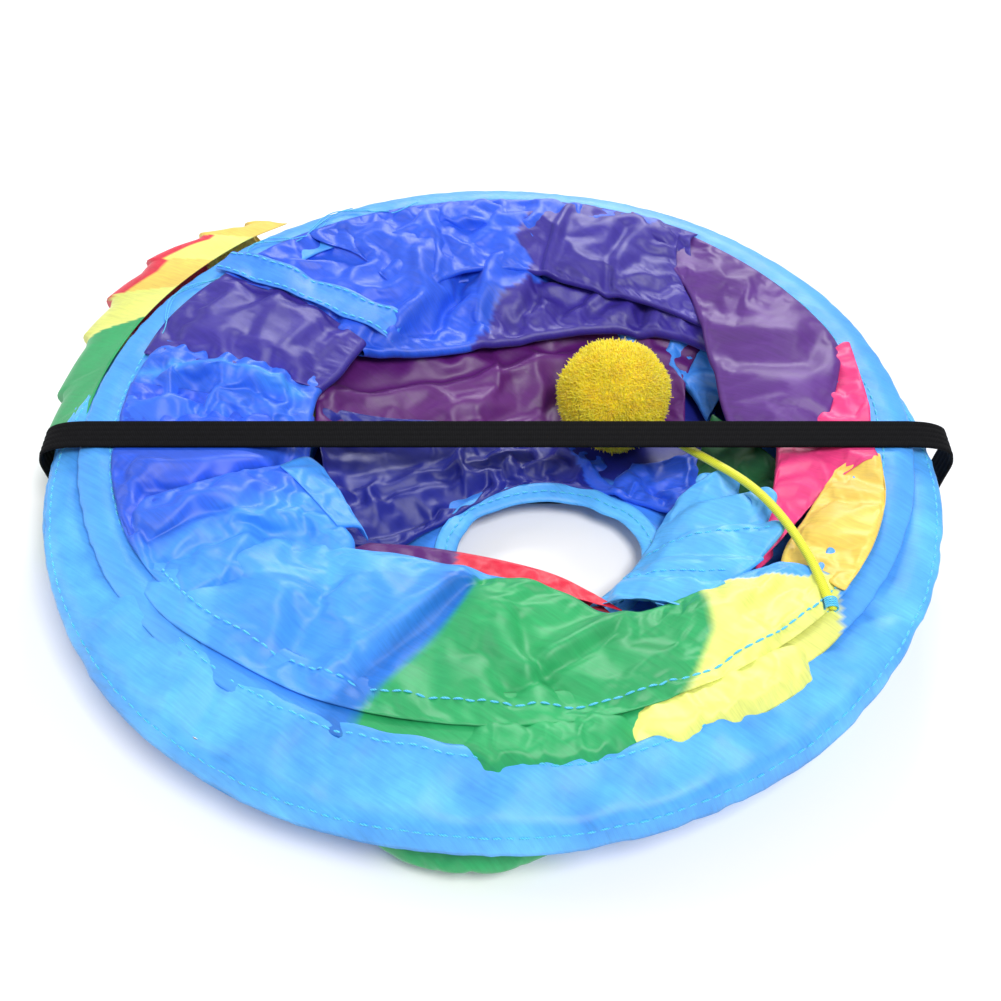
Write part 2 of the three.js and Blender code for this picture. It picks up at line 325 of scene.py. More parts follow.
class Nodes:
    """A new material and its nodes, with a short call for each kind of node used here."""

    def __init__(self, name):
        self.material = bpy.data.materials.new(name)
        self.material.use_nodes = True
        self.tree = self.material.node_tree
        self.shader = self.tree.nodes["Principled BSDF"]
        self.place = self.add("TexCoord").outputs["Object"]

    def fill(self, node, inputs):
        """Sets a node's inputs, each to a value or to the output of another node."""
        for key, value in inputs.items():
            if isinstance(value, bpy.types.NodeSocket):
                self.tree.links.new(value, node.inputs[key])
            else:
                node.inputs[key].default_value = value

    def add(self, kind, inputs=None, **settings):
        node = self.tree.nodes.new("ShaderNode" + kind)
        for key, value in settings.items():
            setattr(node, key, value)
        self.fill(node, inputs or {})
        return node

    def noise(self, scale, detail=2.0, roughness=0.5, vector=None, distortion=0.0, kind="FBM"):
        return self.add("TexNoise", {
            "Vector": self.place if vector is None else vector, "Scale": scale, "Detail": detail,
            "Roughness": roughness, "Distortion": distortion,
        }, noise_type=kind).outputs["Fac"]

    def wave(self, direction, scale, distortion, detail=2.0, detail_scale=1.0, vector=None):
        return self.add("TexWave", {
            "Vector": self.place if vector is None else vector, "Scale": scale,
            "Distortion": distortion, "Detail": detail, "Detail Scale": detail_scale,
        }, bands_direction=direction).outputs["Fac"]

    def mapping(self, vector, **changes):
        return self.add("Mapping", {"Vector": vector, **changes}).outputs[0]

    def product(self, first, second):
        return self.add("Math", {0: first, 1: second}, operation="MULTIPLY").outputs[0]

    def spread(self, value, span, result):
        """Maps a span of values to a span of results."""
        return self.add("MapRange", {
            "Value": value, "From Min": span[0], "From Max": span[1], "To Min": result[0],
            "To Max": result[1],
        }).outputs[0]

    def ramp(self, factor, *stops):
        """A colour ramp through stops, each (position, colour)."""
        node = self.add("ValToRGB", {"Fac": factor})
        elements = node.color_ramp.elements
        while len(elements) > 1:
            elements.remove(elements[-1])
        elements[0].position = stops[0][0]
        elements[0].color = (*stops[0][1], 1)
        for position, colour in stops[1:]:
            elements.new(position).color = (*colour, 1)
        return node.outputs["Color"]

    def bump(self, height, strength, distance, under=None):
        """Bumps on the surface, or on the bumps given as under."""
        below = {} if under is None else {"Normal": under}
        node = self.add("Bump", {"Height": height, "Strength": strength, "Distance": distance, **below})
        return node.outputs[0]

    def shade(self, inputs):
        self.fill(self.shader, inputs)
        return self.material


MOTTLING = 0.14


def satin(name, colours=None, roughness=0.37):
    """Thin woven polyester: fine threads, soft creases, a satin gloss and slight fading.

    Without its own two colours it shows the print colours and painted shade that its mesh carries."""
    nodes = Nodes(name)
    turned = nodes.mapping(nodes.place, Rotation=(0, 0, 0.62))
    warp = nodes.wave("X", 950, 1.2, 1, 2, turned)
    weft = nodes.wave("Y", 1350, 0.8, 1, 2, turned)
    slub = nodes.noise(110, 5, 0.65, nodes.mapping(turned, Scale=(1, 14, 1)))
    cloudy = nodes.noise(38, 4, 0.6)
    if colours:
        base = nodes.ramp(cloudy, (0.32, colours[0]), (0.68, colours[1]))
    else:
        base = nodes.add("Attribute", attribute_name="print_and_shade").outputs["Color"]
    fade = nodes.spread(cloudy, (0.3, 0.7), (1 - MOTTLING, 1 + MOTTLING))
    thread_tint = nodes.spread(slub, (0.3, 0.75), (0.88, 1.16))
    tinted = nodes.add("VectorMath", {0: base, "Scale": nodes.product(fade, thread_tint)}, operation="SCALE")
    weave = nodes.bump(nodes.product(warp, weft), 0.32, 0.00008)
    puckers = nodes.bump(nodes.noise(210, 3, 0.55), 0.25, 0.0005, weave)
    longer = nodes.mapping(nodes.place, Scale=(1, 1.7, 1), Rotation=(0, 0, 0.5))
    folds = nodes.noise(26, 4, 0.55, longer, 0.9, "RIDGED_MULTIFRACTAL")
    return nodes.shade({
        "Base Color": tinted.outputs[0], "Normal": nodes.bump(folds, 0.2, 0.0016, puckers),
        "Roughness": nodes.spread(slub, (0, 1), (roughness - 0.04, roughness + 0.14)),
        "Sheen Weight": 0.06, "Sheen Roughness": 0.35, "Specular IOR Level": 0.55, "Anisotropic": 0.4,
    })


def thread_material(name, colour, shade_between_plies):
    """Twisted thread, with painted shade between its plies."""
    nodes = Nodes(name)
    twist = nodes.wave("DIAGONAL", 900, 3)
    return nodes.shade({
        # The ramp's darker end is painted shade in the grooves between the plies.
        "Base Color": nodes.ramp(twist, (0.1, shade_between_plies), (0.7, colour)),
        "Normal": nodes.bump(twist, 0.5, 0.0001), "Roughness": 0.5, "Sheen Weight": 0.3,
    })


def elastic_material():
    nodes = Nodes("ribbed_elastic")
    picks = nodes.product(nodes.wave("X", 620, 1), nodes.noise(900, 4))
    return nodes.shade({
        "Base Color": nodes.ramp(picks, (0.05, (0.001, 0.001, 0.0015)), (0.75, (0.008, 0.008, 0.010))),
        "Normal": nodes.bump(picks, 0.7, 0.00015), "Roughness": 0.85, "Specular IOR Level": 0.12,
    })


def plush_material():
    nodes = Nodes("yellow_plush")
    return nodes.shade({
        "Base Color": nodes.ramp(nodes.noise(260, 4, 0.7), (0.3, (0.98, 0.64, 0.002)),
                                 (0.5, (1.0, 0.78, 0.004)), (0.72, (1.0, 0.87, 0.012))),
        "Roughness": 0.85, "Sheen Weight": 0.3, "Sheen Roughness": 0.5, "Subsurface Weight": 0.35,
        "Subsurface Scale": 0.002, "Subsurface Radius": (1.0, 0.8, 0.15),
    })


def steel_material():
    nodes = Nodes("drawn_steel")
    grain = nodes.noise(1400, 3)
    return nodes.shade({
        "Base Color": nodes.ramp(grain, (0.3, (0.32, 0.33, 0.35)), (0.7, (0.62, 0.63, 0.66))),
        "Roughness": nodes.spread(grain, (0, 1), (0.22, 0.42)), "Metallic": 1.0,
    })


PRINTED = satin("printed_satin")
BINDING = satin("binding_satin", ((0.060, 0.33, 0.88), (0.105, 0.47, 0.94)), roughness=0.38)
# Each thread's second colour is painted shade between its plies.
STITCH = thread_material("cyan_thread", (0.10, 0.62, 0.90), (0.03, 0.40, 0.72))
CORD = thread_material("yellow_cord", (0.82, 0.85, 0.02), (0.55, 0.58, 0.01))
ELASTIC = elastic_material()
PLUSH = plush_material()
STEEL = steel_material()


# ---------------------------------------------------------------- camera, cord and pompom first
def look_camera():
    """Camera above the near side, looking down at the folded tunnel."""
    pitch = math.radians(48.62)
    data = bpy.data.cameras.new("camera")
    data.lens = 44.9
    data.sensor_width = 36.0
    data.clip_start = 0.01
    camera = bpy.data.objects.new("camera", data)
    camera.location = (0.0011, -0.2509, 0.2579 + STACK_TOP * MM)
    camera.rotation_euler = (math.pi / 2 - pitch, 0, 0)
    bpy.context.scene.collection.objects.link(camera)
    bpy.context.scene.camera = camera


look_camera()

CORD_RADIUS = 1.25
CORD_ROUTE = [
    [85.0, -58.6, 32.4], [84.4, -55.0, 32.4], [83.6, -50.0, 32.3], [82.4, -45.0, 32.2],
    [80.8, -39.5, 32.0], [78.9, -34.0, 31.8], [76.6, -28.5, 31.5], [73.9, -23.0, 31.0],
    [70.7, -17.6, 30.2], [67.0, -12.3, 29.0], [63.0, -7.2, 27.6], [58.8, -2.2, 26.2],
    [54.6, 2.8, 24.9], [50.6, 8.0, 23.8], [47.0, 13.0, 22.9], [43.6, 17.6, 22.2],
]
POMPOM_RADIUS = 17.5
FIBRES = 42000


def sweep(name, route, radius, sides, material):
    """Round tube along a route in millimetres, closed at both ends."""
    path = np.asarray(route, float)
    forward = np.gradient(path, axis=0)
    forward /= np.linalg.norm(forward, axis=1)[:, None]
    side = np.cross(forward, (0.05, 0.03, 1.0))
    side /= np.linalg.norm(side, axis=1)[:, None]
    up = np.cross(side, forward)
    turns = np.linspace(0, 2 * math.pi, sides, endpoint=False)
    radii = np.full(len(path), radius) if np.isscalar(radius) else np.asarray(radius)
    ring = side[:, None] * np.cos(turns)[None, :, None] + up[:, None] * np.sin(turns)[None, :, None]
    points = (path[:, None] + ring * radii[:, None, None]).reshape(-1, 3)
    faces = grid_faces(len(path), sides, closed=True)
    last = (len(path) - 1) * sides
    faces.append(tuple(range(sides))[::-1])
    faces.append(tuple(last + i for i in range(sides)))
    return new_mesh(name, points, faces, material)


def pompom():
    """A ball of short fibres, each a thin three-sided spike, on a lumpy core."""
    low, high = box_of("pompom_ball")
    centre = (low + high) / 2
    step = np.arange(FIBRES) + 0.5
    polar = np.arccos(1 - 2 * step / FIBRES)
    around = math.pi * (1 + 5**0.5) * step
    out = np.stack([np.cos(around) * np.sin(polar), np.sin(around) * np.sin(polar), np.cos(polar)], 1)
    lumps = np.array([noise.noise(Vector(d * 1.9)) for d in out])
    clumps = np.array([noise.noise(Vector(d * 6.5 + 5)) for d in out])
    reach = POMPOM_RADIUS * (0.952 + 0.06 * lumps + 0.012 * clumps + 0.004 * rng.normal(size=FIBRES))
    lean = rng.normal(size=(FIBRES, 3)) * 0.045
    curl = np.cross(out, (0.3, 0.2, 1.0)) * 0.05
    root = centre + out * (POMPOM_RADIUS * (0.915 + 0.06 * lumps))[:, None]
    tip = centre + (out + lean * 0.7 + curl * clumps[:, None]) * reach[:, None]
    middle = (root + tip) / 2 + lean * 1.2
    a = np.cross(out, rng.normal(size=(FIBRES, 3)))
    a /= np.linalg.norm(a, axis=1)[:, None]
    b = np.cross(out, a)
    rings = []
    for place, width in ((root, 0.14), (middle, 0.14), (tip, 0.10)):
        for turn in (0, 2 * math.pi / 3, 4 * math.pi / 3):
            rings.append(place + (a * math.cos(turn) + b * math.sin(turn)) * width)
    faces = []
    for start in range(0, FIBRES * 9, 9):
        faces += grid_faces(3, 3, closed=True, start=start)
        faces.append((start + 6, start + 7, start + 8))
    pile = new_mesh("pompom_pile", np.stack(rings, 1).reshape(-1, 3), faces, PLUSH)
    bpy.ops.mesh.primitive_ico_sphere_add(subdivisions=4, radius=POMPOM_RADIUS * 0.925 * MM)
    core = bpy.context.object
    core.name = "pompom_core"
    core.data.materials.append(PLUSH)
    for vertex in core.data.vertices:
        d = vertex.co.normalized()
        vertex.co *= 1 + 0.065 * noise.noise(d * 1.9) + 0.02 * noise.noise(d * 6.5 + Vector((5, 5, 5)))
    core.location = Vector(centre * MM)
    for polygon in core.data.polygons:
        polygon.use_smooth = True
    for piece in (pile, core):
        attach(piece, "pompom_toy")
        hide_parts("pompom_ball")
    return centre


def cord():
    """The cord, its tail behind the tack, and the thread wound round the tack."""
    centre = pompom()
    dense = smooth_run(CORD_ROUTE + [list(centre * 0.12 + np.array(CORD_ROUTE[-1]) * 0.88)], 160)
    piece = sweep("yellow_cord", dense, CORD_RADIUS, 14, CORD)
    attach(piece, "pompom_toy")
    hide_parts("pompom_cord")
    tail = smooth_run([(85.0, -58.2, 32.5), (85.5, -59.6, 32.6), (85.7, -60.9, 32.3),
                       (85.6, -61.8, 31.9)], 24)
    end = sweep("cord_tail", tail, np.linspace(1.3, 1.0, 24), 12, CORD)
    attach(end, "pompom_toy")
    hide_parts("cord_sewn_tack")
    for number in range(5):
        y = -59.0 - 0.65 * number
        loop = [(85.3 + 1.75 * math.cos(t), y, 32.2 + 1.55 * math.sin(t))
                for t in np.linspace(0, 2 * math.pi, 15)]
        wrap = sweep(f"tack_wrap_{number + 1}", loop, 0.28, 6, STITCH)
        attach(wrap, "pompom_toy")


cord()


# ---------------------------------------------------------------- stitches
STITCH_SHARE = 0.8
STITCH_RADIUS = 0.34


def stitch_row(name, line, pitch=3.1):
    """A row of thread stitches that lies on a dense line of surface points."""
    line = np.asarray(line, float)
    length = np.concatenate([[0], np.cumsum(np.linalg.norm(np.diff(line, axis=0), axis=1))])
    points, faces = [], []
    for number in range(int(length[-1] // pitch)):
        start = number * pitch + rng.uniform(-0.15, 0.15)
        span = pitch * STITCH_SHARE * rng.uniform(0.9, 1.08)
        marks = np.clip(start + span * np.linspace(0, 1, 5), 0, length[-1])
        middle = np.stack([np.interp(marks, length, line[:, k]) for k in range(3)], 1)
        along = middle[-1] - middle[0]
        along /= np.linalg.norm(along) + 1e-9
        side = np.cross(along, (0, 0, 1))
        side /= np.linalg.norm(side) + 1e-9
        middle += side * rng.uniform(-0.12, 0.12)
        base = len(points)
        for k, (place, size) in enumerate(zip(middle, (0.35, 0.95, 1.0, 0.95, 0.35))):
            rise = 0.16 * (1 - (k - 2) ** 2 / 4.0) - 0.08
            for turn in np.linspace(0, 2 * math.pi, 6, endpoint=False):
                offset = side * math.cos(turn) * STITCH_RADIUS * size
                up = math.sin(turn) * STITCH_RADIUS * 0.7 * size + rise
                points.append(place + offset + np.array([0, 0, up]))
        faces += grid_faces(5, 6, closed=True, start=base)
        faces.append(tuple(base + i for i in range(6))[::-1])
        faces.append(tuple(base + 24 + i for i in range(6)))
    return new_mesh(name, points, faces, STITCH)


def sew(name, line, pitch=3.1):
    """A stitch row laid on a panel's cloth, with its placement baked in."""
    row = stitch_row(name, line, pitch)
    hang_between(row)


# ---------------------------------------------------------------- hem sleeves
STEPS = 360
WIRE_SHARE = 0.70
STANDING_HOOP = 8
# Pleats across the standing hoop's sleeve: bearing, width and rise.
RIM_PLEATS = [
    (212, 0.035, 1.7), (218, 0.022, -1.3), (228, 0.030, 1.9), (233, 0.020, -1.5), (243, 0.040, 1.5),
    (251, 0.022, -1.3), (263, 0.050, 1.0), (279, 0.030, -0.9), (300, 0.035, 1.3), (307, 0.022, -1.2),
    (318, 0.040, 1.2), (330, 0.030, -1.0),
]
# The gap between the two top sleeves on the near side, as a bearing.
SLIT_MIDDLE = math.radians(290)
SLIT_HALF = math.radians(20)


def sleeve_surface(number, share, top=True):
    """Points along a sleeve, a share of the way from its inner to its outer edge."""
    hoop = HOOP[number]
    turns = np.linspace(0, 2 * math.pi, STEPS, endpoint=False)
    wave = ring_noise(turns, 3.1, number)
    fine = ring_noise(turns, 17, number * 2.3 + share * 1.5)
    tuck = ring_noise(turns + share * 0.12, 13, number * 1.3, 4)
    inset = SLEEVE_WIDTH * (1 - share)
    inner_edge = math.exp(-((share / 0.16) ** 2))
    outer_edge = math.exp(-(((1 - share) / 0.14) ** 2))
    inset += inner_edge * (0.9 * fine + 0.8 * wave)
    inset += outer_edge * (0.9 * np.abs(fine) + 0.4 * wave + 0.2)
    wire = 0.80 * math.exp(-(((share - WIRE_SHARE) / 0.17) ** 2))
    flat = 0.52 + 0.10 * math.sin(math.pi * share)
    rounding = min(1.0, (share / 0.06) ** 0.5, ((1 - share) / 0.07) ** 0.5)
    height = (flat + wire) * rounding
    gather = 0.85 if number < HOOPS else 1.15
    pucker = (gather * np.maximum(tuck, 0) + 0.36 * fine) * math.sin(math.pi * min(1, share * 1.1))
    lift = np.zeros(STEPS)
    if number == STANDING_HOOP:
        near = np.clip((-np.sin(turns + 0.12) - 0.30) / 0.45, 0, 1)
        near = near * near * (3 - 2 * near)
        from_slit = np.abs((turns - SLIT_MIDDLE + math.pi) % (2 * math.pi) - math.pi)
        slit = np.clip(1.5 - from_slit / SLIT_HALF, 0, 1)
        inset = inset + near * (1 - share) * (6.5 - 5.5 * slit)
        lift = near * (5.6 * max(0, 0.70 - share) - 95.0 * max(0, share - 0.74) ** 2)
        height = height + near * 0.5
        pucker = pucker * (1 + 1.5 * near)
        for bearing, width, rise in RIM_PLEATS:
            away = turns - math.radians(bearing) - 0.06 * (share - 0.5)
            pleat = np.exp(-((away / width) ** 2)) * math.sin(math.pi * min(1, share * 1.05))
            pucker = pucker + rise * pleat
    x = hoop["x"] + (hoop["a"] - inset) * np.cos(turns)
    y = hoop["y"] + (hoop["b"] - inset) * np.sin(turns)
    side = height + pucker if top else 0.2 * pucker - height
    return np.stack([x, y, hoop["z"] + side + 0.12 + lift], 1)


def hem_sleeve(number):
    """A sleeve as a closed tube. The lowest one is thickened down to the floor."""
    shares_up = [0, 0.03, 0.08, 0.16, 0.26, 0.38, 0.50, 0.60, 0.70, 0.80, 0.88, 0.94, 0.98, 1.0]
    rows = [sleeve_surface(number, share) for share in shares_up]
    rows += [sleeve_surface(number, share, top=False) for share in shares_up[-2:0:-2]]
    points = np.vstack(rows)
    if number == 1:
        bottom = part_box("hem_sleeve_1")[0].z / MM
        low = points[:, 2] < HOOP[1]["z"] - 0.2
        points[low, 2] -= HOOP[1]["z"] - 0.5 - bottom - 0.62
        points[:, 2] = np.maximum(points[:, 2], bottom + 0.02)
    return press(points), tube_faces(len(rows), STEPS)


# Label, share of the way across the sleeve, first and last bearing.
STITCH_ROWS = {
    9: [("rim", 0.47, -34, 208)],
    8: [("inner", 0.12, 170, 372), ("outer", 0.90, 150, 400)],
}


def all_sleeves():
    for number in range(1, HOOPS + 1):
        points, faces = hem_sleeve(number)
        material = PRINTED if number == HOOPS else BINDING
        obj = new_mesh(f"sleeve_{number}", points, faces, material)
        if number == HOOPS:
            set_tone(obj, near_tone(points))
        body = f"hoop_{number}"
        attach(obj, body)
        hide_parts(f"hem_sleeve_{number}")
        for label, share, start, end in STITCH_ROWS.get(number, [("outer", 0.88, 0, 360)]):
            line = press(sleeve_surface(number, share))
            first, last = int(start / 360 * STEPS), int(end / 360 * STEPS)
            line = np.roll(line, -first, 0)[: last - first + 1]
            row = stitch_row(f"sleeve_{number}_{label}_stitches", line)
            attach(row, body)


# ---------------------------------------------------------------- printed colours, and a strip of painted shade
def stripes(xy, start, edges, sharp=0.45):
    """Tone number over the cloth: one step up across each edge, read from right to left of it."""
    tone = np.full(len(xy), float(start))
    for line, step in edges:
        tone += step * np.clip(0.5 + sharp * line_distance(xy, line), 0, 1)
    return tone


# Across BLUE_EDGE the near fold's tone steps from sky to shade, which is painted shade; then to green and to
# lemon.
BLUE_EDGE = [(-4, -36), (-10, -46.5), (-17, -59), (-29, -74), (-40, -88), (-52, -108)]
GREEN_EDGE = [(-1, -30), (-3, -46), (-9, -59), (-20, -74), (-31, -88), (-40, -108)]
LEMON_EDGE = [(51, -30), (53.6, -55), (54.5, -68), (48, -83), (42, -93), (30, -112)]


def near_tone(points):
    """Colours of the near fold and the near side of the top sleeve."""
    xy = points[:, :2]
    wide = stripes(xy, TONE["sky"], [(BLUE_EDGE, 1), (GREEN_EDGE, 1), (LEMON_EDGE, 1)])
    near = (xy[:, 1] < -50) & (xy[:, 0] > -72) & (xy[:, 0] < 88)
    return np.where(near, wide, TONE["binding"])


def over_sleeve(row, push, z):
    """Moves a row of points outward, so that the cloth laps over the top sleeve's inner part.

    Points given below the sleeve's top stay low, so that an end of the piece tucks under."""
    out = []
    for x, y, low in row:
        dx, dy = x - HOOP[9]["x"], y - HOOP[9]["y"]
        gap = math.hypot(dx, dy)
        out.append((x + dx / gap * push, y + dy / gap * push, z if low >= 29 else low))
    return out


def lapped(rows, push=6.4, rise=0.0):
    """Rows of a piece that starts on the sleeve, bends over its inner edge and goes on inward."""
    return [over_sleeve(rows[0], push, 31.7 + rise), over_sleeve(rows[0], 1.2, 31.5 + rise)] + rows[1:]


def press(points):
    """Holds cloth down under the elastic band, and up off the floor."""
    off = np.abs(points[:, 1] - BAND_MIDDLE) - BAND_REACH
    limit = BAND_UNDERSIDE - 0.3 + 0.55 * np.maximum(off, 0)
    points[:, 2] = np.where(off < 8, np.minimum(points[:, 2], limit), points[:, 2])
    points[:, 2] = np.maximum(points[:, 2], 0.5)
    return points


# ---------------------------------------------------------------- cloth patches
# Where the top panel's folds end, round the throat.
FOLD_ENDS = [
    (88, -10, 23.5), (85, 6, 23), (79, 24, 23), (79, 44, 22.5), (72, 66, 22.5), (54, 80, 22.5),
    (30, 86, 22.5), (10, 85, 22.5), (-8, 82, 22.5), (-24, 77, 22.5), (-40, 68, 22.5), (-54, 54, 22),
    (-63, 32, 21), (-65, 8, 20.5), (-63, -10, 20.5), (-57, -24, 21), (-46, -40, 22.5), (-32, -48, 24),
    (-16, -54, 24.5), (0, -58, 24.5), (17, -64, 24.5), (28, -69, 24.5), (44, -70, 24.5),
    (60, -64, 24.5), (78, -53, 24.5), (88, -34, 24),
]
# Tones of the top panel's lower layer round the throat, each with the bearing at which it ends.
UNDER_TONES = [
    (20, "pink"), (62, "purple"), (84, "indigo"), (130, "royal_2"), (150, "indigo"), (215, "royal"),
    (256, "sky"), (290, "green"), (318, "lemon"), (340, "gold"), (361, "pink"),
]


def build_patch(rows, across, along, creases=(), seed=1, size=16.0, height=1.0, fold=None,
                excess=0.08, cap=4.0):
    """A piece of cloth from given rows: lofted, creased, then settled with its edges pinned."""
    grid = loft(rows, across, along)
    shape = grid.shape
    points = grid.reshape(-1, 3)
    v, u = np.meshgrid(np.linspace(0, 1, shape[0]), np.linspace(0, 1, shape[1]), indexing="ij")
    inside = (np.sin(np.pi * v) ** 0.6 * np.minimum(1, 8 * np.sin(np.pi * u))).ravel()
    points[:, 2] += wrinkle(points, size, height, seed) * inside
    for line, rise, width in creases:
        crease(points, line, rise, width)
    pinned = (v < 1e-6) | (v > 1 - 1e-6) | (u < 1e-6) | (u > 1 - 1e-6)
    points = settle(points, grid_faces(*shape[:2]), pinned.ravel(), excess, cap)
    grid = points.reshape(shape)
    return roll_under(grid, *fold) if fold else grid


def patch_mesh(name, patches):
    """Joins patches into one object. Each is a grid with its tone, or a function that gives tones."""
    points, faces, tones = [], [], []
    start = 0
    for grid, tone in patches:
        flat = press(grid.reshape(-1, 3))
        faces += grid_faces(*grid.shape[:2], start=start)
        points.append(flat)
        tones.append(tone(flat) if callable(tone) else np.full(len(flat), float(TONE[tone])))
        start += len(flat)
    obj = new_mesh(name, np.vstack(points), faces, PRINTED)
    set_tone(obj, np.concatenate(tones))
    return obj


def hang_between(obj):
    """Bakes the object's placement into its points."""
    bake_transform(obj)


all_sleeves()


# ---------------------------------------------------------------- top panel, in folded pieces
def two_tones(right, left, line):
    """Gives cloth one tone on each side of a line, as seen along it."""
    return lambda points: np.where(line_distance(points[:, :2], line) > 0, TONE[left], TONE[right])


def near_fold():
    """The broad fold on the near side, with the hem's stitch line across it."""
    rows = [
        [(-93, -34, 27), (-78, -56, 31), (-58, -69.5, 30.6), (-38, -79.5, 30), (-12, -85, 30),
         (14, -85, 30), (38, -79, 30), (60, -68, 30), (74, -58, 30), (84, -48, 30)],
        [(-74, -33, 26), (-58, -49, 31.2), (-38, -58, 31.2), (-22, -64, 31), (-2, -67, 31.4),
         (18, -69, 31.2), (36, -70, 31), (54, -62, 31.2), (69, -53, 31), (80, -46, 30.8)],
        [(-52, -32, 24.5), (-39, -39.5, 29), (-26, -42, 29.6), (-12, -46.5, 29.6), (2, -50.5, 29.6),
         (17, -55, 29.2), (28, -61.5, 28.2), (40, -60.5, 29), (56, -53.5, 29.6), (76, -44.5, 29.6)],
    ]
    creases = [
        ([(32, -62), (22, -70), (8, -79)], 2.4, 3.4), ([(30, -67), (20, -76), (4, -85)], -1.7, 2.6),
        ([(8, -52), (-2, -62), (-1, -76)], 2.1, 4.4), ([(-10, -50), (-24, -64), (-42, -80)], 2.5, 4.2),
        ([(-4, -52), (-17, -66), (-34, -82)], -1.5, 3.0),
        ([(2, -84), (-3, -74), (-2, -66)], -1.8, 3.0), ([(-72, -52), (-56, -50), (-42, -52)], -2.2, 3.4),
        ([(16, -85), (9, -75), (7, -64)], -1.6, 2.6), ([(-60, -60), (-46, -56), (-30, -54)], 1.9, 5.0),
        ([(-66, -46), (-56, -56), (-56, -70)], 1.8, 3.6), ([(-44, -50), (-46, -62), (-54, -74)], -1.5, 3.4),
        ([(-30, -58), (-36, -66), (-44, -76)], -1.0, 4.0), ([(60, -66), (70, -58), (80, -50)], -1.0, 2.4),
        ([(40, -64), (58, -60), (76, -50)], 0.9, 3.4), ([(44, -86), (60, -76), (78, -62)], 1.4, 2.0),
    ]
    grid = build_patch(lapped(rows, 10.0), 44, 150, creases, seed=3, size=24, height=1.2,
                       fold=(2.2, 9), excess=0.045, cap=2.6)
    sew("near_fold_stitches", grid[6] + (0, 0, 0.28))
    return grid, near_tone


def left_folds():
    """The blue cloth at the left, a wedge of it folded over, and that wedge's pale tip."""
    back = [
        [(-103, 22, 30), (-103.5, 8, 30), (-102.5, -8, 30), (-98.5, -22, 30), (-92, -36, 30)],
        [(-82, 20, 28.8), (-82, 6, 28.8), (-80, -9, 28.4), (-76, -24, 28.4), (-70, -37, 28)],
        [(-57, 18, 23), (-57, 5, 22.5), (-55.6, -9, 22), (-49, -19, 22), (-40, -34, 22)],
    ]
    back_creases = [
        ([(-100, -2), (-82, 1), (-60, 0)], 1.6, 3.0), ([(-100, 6), (-84, 9), (-62, 8)], -1.6, 2.4),
        ([(-100, -14), (-82, -10), (-66, -6)], 2.2, 2.6), ([(-96, -22), (-78, -17), (-60, -13)], -2.2, 2.4),
    ]
    wedge = [
        [(-98, -24, 30.4), (-93, -35, 30.4), (-85, -46, 30.2), (-75, -57, 29.6), (-66, -65, 28.6)],
        [(-78, -15, 31), (-75, -27, 32), (-70, -38, 31.2), (-62, -47, 29.6), (-56, -54, 28)],
        [(-61, -7, 27.5), (-54, -18, 29.5), (-45, -29, 29.4), (-40, -37, 28), (-44, -47, 26.5)],
    ]
    wedge_creases = [
        ([(-88, -46), (-72, -38), (-52, -33)], -2.2, 2.6), ([(-94, -32), (-76, -25), (-60, -16)], 1.8, 2.8),
        ([(-78, -56), (-66, -48), (-50, -42)], 1.6, 2.6), ([(-92, -38), (-78, -31), (-64, -25)], -1.6, 2.0),
    ]
    tip = [
        [(-62, -8, 28), (-55, -3, 26.4), (-50, -6, 25)],
        [(-55, -17, 30.2), (-47, -15, 28.5), (-43, -19, 27)],
        [(-44, -31, 30), (-38, -30, 28.5), (-35.5, -33, 27)],
    ]
    light = [(-98, -44), (-84, -36), (-66, -26), (-48, -14)]
    return [
        (build_patch(lapped(back), 34, 60, back_creases, seed=8, size=13, height=1.2, fold=(1.8, 8),
                     excess=0.14), "royal_2"),
        (build_patch(lapped(wedge), 32, 54, wedge_creases, seed=21, size=13, height=1.2,
                     fold=(1.9, 7), excess=0.13, cap=3.8),
         lambda f: TONE["royal"] + np.clip(0.5 - 0.12 * line_distance(f[:, :2], light), 0, 1)),
        (build_patch(tip, 18, 20, seed=5, size=10, height=0.5, excess=0.05, fold=(1.0, 5), cap=1.8), "sky"),
    ]


def upper_left_folds():
    """Indigo cloth below the side seam, and a blue fold with a pale line that comes out under it."""
    seam_side = [
        [(-102, 34, 30), (-98, 48, 30), (-91, 61, 30), (-83, 71, 30)],
        [(-78, 30, 29), (-76, 42, 30), (-70, 54, 29.8), (-63, 64, 29.2)],
        [(-55, 28, 24.5), (-50, 34, 25), (-46.5, 41, 25.5), (-42.5, 48.5, 26)],
    ]
    seam_creases = [
        ([(-98, 36), (-82, 36), (-66, 30)], -1.8, 2.4), ([(-96, 44), (-80, 44), (-62, 38)], 1.4, 3.2),
    ]
    low = [
        [(-103.4, 6, 29.6), (-103.4, 18, 29.8), (-101.5, 29, 29.8), (-97, 40, 29.8)],
        [(-80, 8, 28.4), (-80, 18, 29.4), (-78, 27, 29.4), (-75, 36, 28.4)],
        [(-57, 12, 23.5), (-57, 19, 24), (-56, 26, 24.4), (-53, 33, 24)],
    ]
    low_creases = [
        ([(-100, 24), (-84, 27), (-66, 26)], 2.4, 2.2), ([(-100, 19), (-84, 21), (-66, 21)], -1.8, 2.0),
        ([(-100, 13), (-84, 14), (-60, 16)], 1.5, 2.4),
    ]
    pale = [(-112, 26), (-96, 28), (-84, 31), (-70, 26), (-60, 24)]
    return [
        (build_patch(lapped(seam_side), 30, 44, seam_creases, seed=12, size=14, height=0.9,
                     fold=(1.4, 8), cap=2.8), "indigo"),
        (build_patch(lapped(low, 6.0), 34, 44, low_creases, seed=31, size=9, height=1.9,
                     fold=(1.5, 8), excess=0.18, cap=4.8),
         lambda f: TONE["royal"] + np.clip(1 - 0.3 * np.abs(line_distance(f[:, :2], pale)), 0, 1)),
    ]


